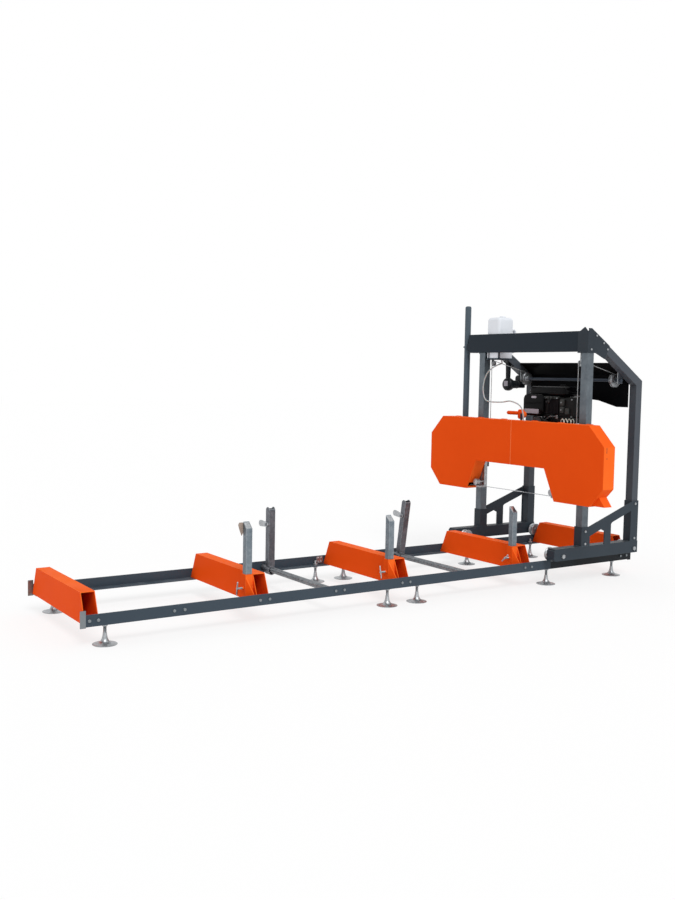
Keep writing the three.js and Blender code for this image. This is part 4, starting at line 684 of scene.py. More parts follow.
class Stock(Enum):
    """The materials of the machine, each made once and shared."""

    ANTHRACITE = PaintFinish("anthracite_enamel", srgb(66, 77, 87), srgb(56, 67, 77), srgb(112, 120, 126))
    # The rail's pale blue grey dust on its upward faces is partly a painted highlight for light from above.
    RAIL = PaintFinish(
        "rail_enamel", srgb(60, 71, 81), srgb(50, 61, 71), srgb(116, 122, 128), zones=ZoneKind.RAIL,
        metal=MetalZone(srgb(132, 138, 142), 0.4, 0.8), wear=0.75, dust=0.4,
        dust_and_top_light_colour=srgb(150, 157, 163),
    )
    SIDE_FRAME = PaintFinish(
        "side_frame_enamel", srgb(50, 59, 67), srgb(41, 49, 57), srgb(104, 110, 115),
        zones=ZoneKind.SIDE_FRAME,
    )
    TOP_BEAM = PaintFinish(
        "top_beam_enamel", srgb(25, 36, 46), srgb(20, 30, 39), srgb(78, 88, 96), zones=ZoneKind.TOP_BEAM,
        wear=0.35, pale=srgb(50, 57, 64),
    )
    HEAD_FRAME = PaintFinish(
        "head_frame_enamel", srgb(40, 47, 54), srgb(32, 39, 46), srgb(84, 90, 96), zones=ZoneKind.HEAD_FRAME
    )
    REAR_POST = PaintFinish(
        "rear_post_enamel", srgb(72, 77, 84), srgb(58, 65, 73), srgb(108, 114, 120),
        zones=ZoneKind.REAR_POST, wear=0.4,
    )
    UPRIGHT = PaintFinish(
        "upright_enamel", srgb(76, 88, 97), srgb(66, 78, 88), srgb(120, 126, 130), roughness=0.34,
    )
    # The orange gets painted light on its near end faces and on its upward faces.
    ORANGE = PaintFinish(
        "orange_powder_coat", srgb(232, 81, 21), srgb(224, 74, 17), srgb(255, 150, 84),
        zones=ZoneKind.PAINTED_LIGHT_FACES, roughness=0.4, specular=0.008, wear=0.5, dust=0.03,
    )
    TAN_STEEL = CastFinish("tan_steel", srgb(176, 158, 146), srgb(138, 122, 112), 0.1)
    # A pale orange for the lip along the guard's seam, which stands for a painted highlight.
    SEAM_HIGHLIGHT_ORANGE = PaintFinish(
        "seam_highlight_orange", srgb(255, 168, 104), srgb(255, 150, 84), srgb(255, 190, 140), dust=0.0,
    )
    HOOD = PaintFinish(
        "hood_enamel", srgb(9, 10, 12), srgb(5, 6, 8), srgb(48, 50, 54), specular=0.03, wear=0.3,
    )
    WINCH = PaintFinish(
        "winch_enamel", srgb(27, 31, 35), srgb(18, 21, 24), srgb(104, 108, 110), roughness=0.3,
    )
    LIFT_BAR = PaintFinish(
        "lift_bar_enamel", srgb(60, 68, 79), srgb(48, 56, 66), srgb(132, 138, 144), roughness=0.3,
    )
    ZINC = ZincFinish("bright_zinc", srgb(200, 203, 206), srgb(146, 150, 153), flakes=150.0, roughness=0.34)
    # The stops and clamps get a painted highlight along their corners.
    STOP_ZINC = ZincFinish(
        "stop_zinc", srgb(150, 159, 165), srgb(96, 108, 118),
        flakes=70.0, roughness=0.4, flake_share=0.2, corner=0.6,
    )
    CLAMP_ZINC = ZincFinish(
        "clamp_zinc", srgb(128, 130, 136), srgb(76, 80, 86),
        flakes=70.0, roughness=0.4, flake_share=0.2, corner=0.5,
    )
    POST_ZINC = ZincFinish(
        "post_zinc", srgb(118, 126, 132), srgb(84, 92, 99), flakes=50.0, roughness=0.42,
        grain=(60.0, 60.0, 0.8), flake_share=0.16,
    )
    TUBE_ZINC = ZincFinish(
        "tube_zinc", srgb(150, 154, 157), srgb(96, 101, 106), flakes=90.0, roughness=0.42,
    )
    ROPE = ZincFinish("rope_wire", srgb(205, 207, 208), srgb(150, 152, 154), flakes=700.0, roughness=0.4)
    IRON = CastFinish("cast_iron", srgb(104, 106, 108), srgb(58, 59, 61))
    BLADE = BladeFinish("blade_steel", srgb(198, 202, 206))
    # The engine's edges get a faint painted highlight along with their rubbing.
    ENGINE = MouldedFinish(
        "engine_black", srgb(5, 5, 7), srgb(9, 9, 11),
        roughness=0.16, specular=0.09, depth=0.00003, rub=0.05,
    )
    ENGINE_CAST = CastFinish("engine_cast", srgb(78, 80, 78), srgb(44, 46, 46), 0.3)
    ENGINE_TRIM = MouldedFinish("engine_silver", srgb(176, 174, 184), srgb(150, 148, 158), roughness=0.35)
    ENGINE_METAL = ZincFinish(
        "engine_metal", srgb(168, 170, 172), srgb(112, 115, 118), roughness=0.3, flake_share=0.1,
    )
    ENGINE_FINS = CastFinish("engine_fins", srgb(46, 42, 46), srgb(22, 20, 22), 0.3)
    ENGINE_DARK = CastFinish("engine_dark", srgb(14, 14, 15), srgb(8, 8, 9), 0.1)
    TANK = MouldedFinish(
        "tank_white", srgb(222, 226, 232), srgb(208, 213, 221), roughness=0.35, grain=300.0, specular=0.15
    )
    CREAM_CABLE = MouldedFinish("cream_cable", srgb(222, 226, 214), srgb(190, 194, 182), roughness=0.4)
    HOSE = MouldedFinish("hose_clear", srgb(176, 179, 178), srgb(150, 154, 152), roughness=0.3, through=0.2)
    RUBBER = RubberFinish("belt_rubber", srgb(26, 26, 27))
    BLACK_GRIP = MouldedFinish("grip_black", srgb(22, 22, 23), srgb(34, 34, 35), roughness=0.6)

    def material(self) -> bpy.types.Material:
        """Returns the stock's material, making it the first time it is asked for."""
        found = bpy.data.materials.get(f"{self.value.name}_finish")
        return found if found else self.value.make()


class PieceMesh:
    """Points and faces gathered for one piece, in millimetres until it becomes an object."""

    def __init__(self) -> None:
        """Starts with nothing."""
        self.points: list[Vector] = []
        self.faces: list[list[int]] = []

    def add(self, points: Iterable[Vector], faces: Iterable[Sequence[int]]) -> None:
        """Adds points and faces.

        Args:
            points: The points.
            faces: The faces, which count from the first of these points.
        """
        start = len(self.points)
        self.points.extend(points)
        self.faces.extend([start + i for i in face] for face in faces)

    def rings(self, rings: Sequence[Sequence[Vector]], capped: bool = True, closed: bool = False) -> None:
        """Adds a skin over a row of rings with equal counts of points.

        Args:
            rings: The rings, in order.
            capped: Whether the first and last rings are filled.
            closed: Whether the last ring joins the first.
        """
        count = len(rings[0])
        points = [p for ring in rings for p in ring]
        faces: list[list[int]] = []
        spans = len(rings) if closed else len(rings) - 1
        for i in range(spans):
            a, b = i * count, ((i + 1) % len(rings)) * count
            faces.extend([a + j, a + (j + 1) % count, b + (j + 1) % count, b + j] for j in range(count))
        if capped and not closed:
            faces.append(list(range(count)))
            last = (len(rings) - 1) * count
            faces.append([last + j for j in reversed(range(count))])
        self.add(points, faces)

    def turned(
        self, profile: Sequence[Pair], axis: Axis, centre: Point, segments: int = 40, closed: bool = False
    ) -> None:
        """Adds a profile turned about an axis.

        Args:
            profile: Pairs of radius and distance along the axis.
            axis: The axis that it turns about.
            centre: The point that distances count from.
            segments: Steps in a full turn.
            closed: Whether the profile joins up with itself, as in a tube.
        """
        middle = Vector(centre)
        rings = []
        for radius, along in profile:
            ring = circle(segments, max(radius, 0.01))
            rings.append([middle + axis.place(a, b, along) for a, b in ring])
        self.rings(rings, capped=not closed, closed=closed)

    def hexagon(self, axis: Axis, centre: Point, radius: float, low: float, high: float) -> None:
        """Adds a nut or bolt head with a turned down rim at both ends.

        Args:
            axis: The axis that it points along.
            centre: The point that distances count from.
            radius: From the middle to a corner.
            low: Where it starts along the axis.
            high: Where it ends.
        """
        chamfer = radius * 0.12
        profile = [
            (radius - chamfer, low), (radius, low + chamfer * 0.6), (radius, high - chamfer * 0.6),
            (radius - chamfer, high),
        ]
        self.turned(profile, axis, centre, 6)

    def washer(self, axis: Axis, centre: Point, radius: float, low: float, high: float) -> None:
        """Adds a round washer, with the same words as a nut."""
        inner, edge = radius - (high - low) * 0.25, (high - low) * 0.25
        profile = [(inner, low), (radius, low + edge), (radius, high - edge), (inner, high)]
        self.turned(profile, axis, centre, 24)

    def block(self, low: Point, high: Point, chamfer: float = 1.0) -> None:
        """Adds a block with chamfered upright and level corners.

        Args:
            low: The block's low corner.
            high: The block's high corner.
            chamfer: The chamfer's width, less where the block is thin.
        """
        bevel = min(chamfer, *(abs(b - a) / 3 for a, b in zip(low, high)))
        rings = []
        for z, inset in ((low[2], bevel), (low[2] + bevel, 0.0), (high[2] - bevel, 0.0), (high[2], bevel)):
            x0, x1 = low[0] + inset, high[0] - inset
            y0, y1 = low[1] + inset, high[1] - inset
            outline = (
                (x0 + bevel, y0), (x1 - bevel, y0), (x1, y0 + bevel), (x1, y1 - bevel), (x1 - bevel, y1),
                (x0 + bevel, y1), (x0, y1 - bevel), (x0, y0 + bevel),
            )
            rings.append([Vector((x, y, z)) for x, y in outline])
        self.rings(rings)

    def swept(
        self, path: Sequence[Point], radius: float, sides: int = 12, lobes: int = 0, lay: float = 40.0,
        ripple: float = 0.0,
    ) -> None:
        """Adds a tube along a path.

        Args:
            path: The points that its centre follows.
            radius: Its outer radius.
            sides: Points around it.
            lobes: Strands that show on its surface, for a rope.
            lay: The length in which the strands go round once.
            ripple: The share by which its radius swells and shrinks from point to point, for a weld.
        """
        points = [Vector(p) for p in path]
        tangents = []
        for i, point in enumerate(points):
            before, after = points[max(i - 1, 0)], points[min(i + 1, len(points) - 1)]
            tangents.append((after - before).normalized())
        side = tangents[0].orthogonal().normalized()
        rings = []
        travelled = 0.0
        for i, (point, tangent) in enumerate(zip(points, tangents)):
            if i:
                travelled += (point - points[i - 1]).length
                side = (side - tangent * side.dot(tangent)).normalized()
            up = tangent.cross(side)
            twist = 2 * math.pi * travelled / lay if lobes else 0.0
            swell = 1 + ripple * math.sin(i * 2.4)
            ring = []
            for j in range(sides):
                angle = 2 * math.pi * j / sides
                reach = radius * swell
                if lobes:
                    reach *= 0.86 + 0.14 * abs(math.cos(angle * lobes / 2))
                turned = angle + twist
                ring.append(point + side * (reach * math.cos(turned)) + up * (reach * math.sin(turned)))
            rings.append(ring)
        self.rings(rings)

    def pillow(self, axis: Axis, low: Point, high: Point, corner: float, edge: float) -> None:
        """Adds a box with round corners along one axis and round edges at both of its ends.

        Args:
            axis: The axis that the round corners follow.
            low: The box's low corner.
            high: The box's high corner.
            corner: The radius of the corners.
            edge: The radius of the ends' edges.
        """
        first, second, third = axis.value, (axis.value + 1) % 3, (axis.value + 2) % 3
        levels = []
        for i in range(5):
            turn = math.pi / 2 * i / 4
            levels.append((low[first] + edge * (1 - math.sin(turn)), edge * (1 - math.cos(turn))))
        levels.reverse()
        tops = [(high[first] + low[first] - along, inset) for along, inset in reversed(levels)]
        rings = []
        for along, inset in (*levels, *tops):
            outline = rounded(
                (low[second] + inset, high[second] - inset), (low[third] + inset, high[third] - inset),
                max(corner - inset, 1.0),
            )
            rings.append([axis.place(a, b, along) for a, b in outline])
        self.rings(rings)

    def pillows(self, boxes: Iterable[Box]) -> None:
        """Adds some boxes with round corners."""
        for box in boxes:
            self.pillow(*box)

    def knurls(
        self, centre: Pair, radius: float, count: int, half: float, height: Pair, chamfer: float
    ) -> None:
        """Adds the grips round an upright cap.

        Args:
            centre: The cap's place.
            radius: How far out the grips stand.
            count: How many there are.
            half: Half a grip's width.
            height: Where they start and end.
            chamfer: The width of their chamfers.
        """
        for across, along in circle(count, radius):
            x, y = centre[0] + across, centre[1] + along
            self.block((x - half, y - half, height[0]), (x + half, y + half, height[1]), chamfer)

    def bead(self, start: Point, end: Point, radius: float = 2.6) -> None:
        """Adds a weld bead along a straight joint.

        Args:
            start: Where the bead starts.
            end: Where it ends.
            radius: The bead's radius.
        """
        a, b = Vector(start), Vector(end)
        steps = max(4, int((b - a).length / 3.0))
        self.swept([tuple(a.lerp(b, i / steps)) for i in range(steps + 1)], radius, 8, ripple=0.16)

    def build(self, name: str, stock: Stock, body: str, slot: str, ride: bool = True) -> bpy.types.Object:
        """Makes the object, dresses it and puts it on its body.

        Args:
            name: The piece's name.
            stock: What it is made of.
            body: The body that it moves with.
            slot: The record's material slot, which is not used.
            ride: Whether it rides on the body; if not, it is left without one.

        Returns:
            The new object.
        """
        mesh = bpy.data.meshes.new(name)
        mesh.from_pydata([p * MM for p in self.points], [], self.faces)
        shaped = bmesh.new()
        shaped.from_mesh(mesh)
        bmesh.ops.recalc_face_normals(shaped, faces=shaped.faces)
        for edge in shaped.edges:
            if len(edge.link_faces) == 2 and edge.calc_face_angle(0.0) > SHARP_ANGLE:
                edge.smooth = False
        for face in shaped.faces:
            face.smooth = True
        shaped.to_mesh(mesh)
        shaped.free()
        piece = bpy.data.objects.new(name, mesh)
        bpy.context.scene.collection.objects.link(piece)
        mesh.materials.append(stock.material())
        if ride:
            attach(piece, body)
        log.info("made %s with %d faces on %s", name, len(self.faces), body)
        return piece


def rounded(across: Pair, along: Pair, radius: float, steps: int = 8) -> list[Pair]:
    """Returns the outline of a rectangle with round corners.

    Args:
        across: The rectangle's low and high value the first way.
        along: Its low and high value the second way.
        radius: The corners' radius.
        steps: Steps around a corner.

    Returns:
        The outline's points.
    """
    corners = (
        (across[1] - radius, along[0] + radius, -90), (across[1] - radius, along[1] - radius, 0),
        (across[0] + radius, along[1] - radius, 90), (across[0] + radius, along[0] + radius, 180),
    )
    outline = []
    for centre_a, centre_b, start in corners:
        for i in range(steps + 1):
            angle = math.radians(start + 90 * i / steps)
            outline.append((centre_a + radius * math.cos(angle), centre_b + radius * math.sin(angle)))
    return outline


def span(first: float, second: float) -> Pair:
    """Returns two distances with the lower one first."""
    return min(first, second), max(first, second)


def circle(count: int, radius: float, start: float = 0.0) -> list[Pair]:
    """Spaces points evenly round a circle.

    Args:
        count: How many points there are.
        radius: The circle's radius.
        start: Where the first one lies, in steps.

    Returns:
        The points, from the circle's middle.
    """
    angles = [2 * math.pi * (i + start) / count for i in range(count)]
    return [(radius * math.cos(angle), radius * math.sin(angle)) for angle in angles]


def thread(root: float, crest: float, start: float, end: float, pitch: float) -> list[Pair]:
    """Draws the profile of a thread.

    Args:
        root: The radius between the turns.
        crest: The radius on the turns.
        start: Where the thread starts.
        end: Where it stops.
        pitch: The step from turn to turn.

    Returns:
        Pairs of radius and distance.
    """
    profile = []
    along = start
    while along < end:
        profile.extend([(root, along), (crest, along + pitch / 2)])
        along += pitch
    return profile


def catmull(points: Sequence[Point], steps: int) -> list[Point]:
    """Returns a smooth path through points.

    Args:
        points: The points that it passes.
        steps: Steps between two points.

    Returns:
        The path's points, both ends included.
    """
    ring = [Vector(p) for p in points]
    ring = [ring[0] * 2 - ring[1], *ring, ring[-1] * 2 - ring[-2]]
    path: list[Point] = []
    for i in range(1, len(ring) - 2):
        a, b, c, d = ring[i - 1 : i + 3]
        for k in range(steps):
            t = k / steps
            spot = 0.5 * (
                2 * b + (c - a) * t + (2 * a - 5 * b + 4 * c - d) * t**2 + (3 * b - 3 * c + d - a) * t**3
            )
            path.append(tuple(spot))
    path.append(tuple(ring[-2]))
    return path


def dress(names: Iterable[str], stock: Stock, edge: float = 0.0009) -> None:
    """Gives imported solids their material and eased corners.

    Args:
        names: The solids' node names.
        stock: What they are made of.
        edge: The width of the eased corners, in metres, or 0 for none.
    """
    for name in names:
        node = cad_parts[name]
        material = stock.material()
        if node.material_slots:
            for used in node.material_slots:
                used.material = material
        else:
            node.data.materials.append(material)
        if edge > 0:
            weld = node.modifiers.new("joined", "WELD")
            weld.merge_threshold = WELD_GAP
            flats = node.modifiers.new("flats", "DECIMATE")
            flats.decimate_type = "DISSOLVE"
            flats.angle_limit = FLAT_ANGLE
            eased = node.modifiers.new("eased", "BEVEL")
            eased.width = edge
            eased.segments = 2
            eased.limit_method = "ANGLE"
            eased.angle_limit = EASED_ANGLE
            eased.harden_normals = True
            faced = node.modifiers.new("faced", "TRIANGULATE")
            faced.min_vertices = 5
            faced.keep_custom_normals = True
        log.info("dressed %s in %s", name, stock.value.name)


@dataclass
class Track:
    """The rails, bunks, cross tubes and levelling feet.

    Attributes:
        foot_x: Where the feet stand along the track.
        foot_y: How far the feet stand from the middle.
        foot_bell: The bell's profile, as pairs of radius and height.
        tube_x: Where the cross tubes lie.
        tube_z: The cross tubes' height.
        tube_radius: Their outer radius.
        tube_bore: Their inner radius.
        bunk_x: Where the bunks lie.
        bunk_half: Half a bunk's width.
        stop_bunks: The numbers of the bunks that carry log stops.
        socket_y: The two edges of a stop's socket.
        half_width: From the middle to the rails' inner faces.
        splice_x: Where each splice plate starts and ends.
        splice_z: The splice plates' lower and upper edges.
        splice_nut_x: Where the splice's nuts sit.
    """

    foot_x: tuple[float, ...] = (-1956, -117, 117, 1262, 1929)
    foot_y: float = 422.0
    foot_bell: tuple[Pair, ...] = (
        (0, 0.0), (64.5, 0.0), (66, 1.2), (65.6, 3.0), (60, 4.6), (50, 6.2), (40, 8.6), (31, 12.2),
        (24, 17.5), (19, 25.0), (15.4, 34.0), (12.8, 45.0), (11.2, 57.0), (10.8, 62.0), (10.0, 64.0),
        (8.2, 65.0),
    )
    tube_x: tuple[float, ...] = (-520, 563)
    tube_z: float = 134.3
    tube_radius: float = 19.0
    tube_bore: float = 15.0
    bunk_x: tuple[float, ...] = (-2034, -1012, 5, 1058, 2019)
    bunk_half: float = 40.0
    stop_bunks: tuple[int, ...] = (2, 3, 4)
    socket_y: Pair = (-333.2, -382.8)
    half_width: float = 446.7
    splice_x: tuple[Pair, ...] = ((-95, -45), (50, 95))
    splice_z: Pair = (117, 168)
    splice_nut_x: tuple[float, ...] = (-80, -58, 64, 82)

    def build(self) -> None:
        """Dresses the solids and adds the track's own pieces."""
        dress(["rail_near", "rail_far"], Stock.RAIL)
        dress([f"bunk_{i}" for i in range(1, 6)], Stock.ORANGE, 0.0)
        for side in Side:
            for i, x in enumerate(self.foot_x, 1):
                self.build_foot(side, i, x)
            self.build_splice(side)
        for i, x in enumerate(self.tube_x, 1):
            self.build_cross_tube(i, x)
        for number in self.stop_bunks:
            self.build_socket_welds(number)

    def build_foot(self, side: Side, number: int, x: float) -> None:
        """Builds one levelling foot: bell, threaded stem, nuts and washers.

        Args:
            side: The foot's side.
            number: Its number along the track.
            x: Its place along the track.
        """
        centre = (x, side.value * self.foot_y, 0.0)
        mesh = PieceMesh()
        stem = thread(8.1, 8.9, 66.0, 145.0, 1.8)
        mesh.turned([*self.foot_bell, *stem, (7.6, 146.0), (0, 146.0)], Axis.Z, centre, 36)
        mesh.hexagon(Axis.Z, centre, 16, 97.7, 106.5)
        mesh.washer(Axis.Z, centre, 17, 106.7, 108.7)
        mesh.washer(Axis.Z, centre, 17, 115.3, 117.3)
        mesh.hexagon(Axis.Z, centre, 16, 117.5, 126.3)
        piece = mesh.build(f"levelling_foot_{side.word}_{number}", Stock.ZINC, "track", "zinc")
        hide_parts(f"foot_{side.word}_{number}")

    def build_splice(self, side: Side) -> None:
        """Builds the plates inside one rail beside the middle feet, with their nuts.

        Args:
            side: The rail's side.
        """
        mesh = PieceMesh()
        inner, face, nut = (side.value * y for y in (446.6, 441.0, 436.0))
        plate = span(inner, face)
        for low, high in self.splice_x:
            mesh.block((low, plate[0], self.splice_z[0]), (high, plate[1], self.splice_z[1]), 1.2)
        for x in self.splice_nut_x:
            for z in (130, 156):
                mesh.hexagon(Axis.Y, (x, 0, z), 6.5, *span(face, nut))
        mesh.build(f"rail_splice_{side.word}", Stock.ZINC, "track", "zinc")

    def build_cross_tube(self, number: int, x: float) -> None:
        """Builds one smooth round cross tube with open ends.

        Args:
            number: The tube's number along the track.
            x: Its place along the track.
        """
        end, outer, bore = self.half_width, self.tube_radius, self.tube_bore
        profile = [
            (outer, -end + 0.8), (outer - 0.6, -end), (bore, -end),
            (bore, end), (outer - 0.6, end), (outer, end - 0.8),
        ]
        mesh = PieceMesh()
        mesh.turned(profile, Axis.Y, (x, 0, self.tube_z), 40, closed=True)
        for side in Side:
            y = side.value * (end - 3)
            for dx in (-18, 18):
                mesh.bead((x + dx, y - side.value * 40, 117.4), (x + dx, y, 117.4), 2.4)
        piece = mesh.build(f"cross_rail_tube_{number}", Stock.TUBE_ZINC, "track", "tube_steel")
        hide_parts(f"cross_tube_{number}")

    def build_socket_welds(self, number: int) -> None:
        """Builds the weld beads along a stop socket and its gusset.

        Args:
            number: The number of the bunk that carries the socket.
        """
        face = self.bunk_x[number - 1] - self.bunk_half
        mesh = PieceMesh()
        for y in self.socket_y:
            mesh.bead((face - 0.6, y, 118), (face - 0.6, y, 278), 2.2)
        mesh.bead((face - 48, self.socket_y[1], 279.6), (face - 4, self.socket_y[1], 279.6), 1.6)
        mesh.build(f"socket_welds_{number}", Stock.ORANGE, "track", "orange_paint")


@dataclass
class LogHolders:
    """The log stops with their screws, and the log clamps with their dogs.

    Attributes:
        stop_bunk_x: Where the bunks with stops lie.
        screw_turns: How far each screw's bar is turned, in degrees.
        socket_offset: From a bunk's middle to its stop's middle.
        stop_y: The stops' place across the track.
        stop_tops: The height of each stop's highest corner.
        stop_slope: How much the stops' ends rise for each millimetre to the far side.
        dog_outline: The tan dog's outline, as pairs of place along the track and height.
        screw_z: The stop screws' height.
    """

    stop_bunk_x: tuple[float, ...] = (-1012, 5, 1058)
    screw_turns: tuple[float, ...] = (8, -14, 48)
    socket_offset: float = 64.2
    stop_y: float = -358.0
    stop_tops: tuple[float, ...] = (583, 558, 553)
    stop_slope: float = 0.95
    dog_outline: tuple[Pair, ...] = (
        (-1125, 564), (-1118, 577), (-1095, 577), (-1049, 553), (-1085, 541), (-1103, 500), (-1114, 528),
    )
    screw_z: float = 200.0

    def build(self) -> None:
        """Dresses the solids and builds the stop screws, the stops' end plates and the tan dog."""
        dress([f"stop_post_{i}" for i in (1, 2, 3)], Stock.STOP_ZINC, 0.0016)
        dress([f"clamp_post_{i}" for i in (1, 2)], Stock.CLAMP_ZINC, 0.0014)
        dress([f"clamp_dog_{i}" for i in (1, 2)], Stock.ZINC, 0.0012)
        for number, (x, turn) in enumerate(zip(self.stop_bunk_x, self.screw_turns), 1):
            self.build_screw(number, x, turn)
            self.build_tip(number, x - self.socket_offset)
        self.build_stop_dog()

    def build_tip(self, number: int, x: float) -> None:
        """Builds the bright plate that closes one stop's sloping end, with its weld.

        Args:
            number: The stop's number.
            x: The stop's place along the track.
        """
        middle_z = self.stop_tops[number - 1] - 19
        slope = self.stop_slope
        mesh = PieceMesh()
        rings = []
        for half, sink in ((16.8, 5.0), (16.8, 1.4), (15.4, 0.4)):
            outline = rounded((x - half, x + half), (self.stop_y - half, self.stop_y + half), 3, 3)
            rings.append([Vector((a, b, middle_z + (b - self.stop_y) * slope - sink)) for a, b in outline])
        mesh.rings(rings)
        for way in (-1, 1):
            low = (x + way * 17.2, self.stop_y - 16, middle_z - 16 * slope)
            high = (x + way * 17.2, self.stop_y + 16, middle_z + 16 * slope)
            mesh.bead(low, high, 1.7)
        mesh.build(f"stop_end_plate_{number}", Stock.ZINC, f"stop_{number}", "zinc")

    def build_stop_dog(self) -> None:
        """Builds the tan dog behind the first stop's end, with its pin."""
        mesh = PieceMesh()
        middle_x = sum(a for a, _ in self.dog_outline) / len(self.dog_outline)
        middle_z = sum(b for _, b in self.dog_outline) / len(self.dog_outline)
        rings = []
        for y, inset in ((-337.6, 1.0), (-336.6, 0.0), (-330.6, 0.0), (-329.6, 1.0)):
            ring = []
            for a, b in self.dog_outline:
                pull = inset / math.hypot(a - middle_x, b - middle_z)
                ring.append(Vector((a + (middle_x - a) * pull, y, b + (middle_z - b) * pull)))
            rings.append(ring)
        mesh.rings(rings)
        pin = [(0, -328), (5, -328), (6, -329), (6, -330), (0, -330)]
        mesh.turned(pin, Axis.Y, (-1090, 0, 556), 20)
        mesh.build("stop_dog", Stock.TAN_STEEL, "stop_1", "zinc")

    def build_screw(self, number: int, bunk_x: float, turn: float) -> None:
        """Builds one T screw: threaded shank, collar and bar with rounded ends.

        Args:
            number: The screw's number.
            bunk_x: The place of its bunk along the track.
            turn: How far its bar is turned, in degrees.
        """
        tip = bunk_x - self.socket_offset - 20.3
        end = tip - 48
        centre = (0.0, self.stop_y, self.screw_z)
        turns = thread(5.3, 5.9, end + 8.0, tip - 1, 1.5)
        shank = [(0, end + 1), (5.4, end + 1), (5.8, end + 7), *turns, (5.0, tip), (0, tip)]
        mesh = PieceMesh()
        mesh.turned(shank, Axis.X, centre, 24)
        collar = [
            (0, end - 0.4), (7.5, end - 0.4), (9, end + 1), (9, end + 6), (7.5, end + 7.4), (0, end + 7.4),
        ]
        mesh.turned(collar, Axis.X, centre, 28)
        angle = math.radians(turn)
        along = Vector((0, -math.sin(angle), math.cos(angle)))
        middle = Vector((end + 3.5, self.stop_y, self.screw_z))
        path = [tuple(middle + along * (i * 4.0 - 36)) for i in range(19)]
        mesh.swept(path, 4.3, 16)
        for way in (-1, 1):
            tip_spot = middle + along * (way * 36)
            ball = [(0, -4.6), (2.9, -3.6), (4.3, -1.8), (4.7, 0.0), (4.3, 1.8), (2.9, 3.6), (0, 4.6)]
            mesh.turned(ball, Axis.X, tuple(tip_spot), 16)
        piece = mesh.build(f"stop_tee_screw_{number}", Stock.ZINC, f"stop_screw_{number}", "zinc")
        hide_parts(f"stop_screw_{number}")


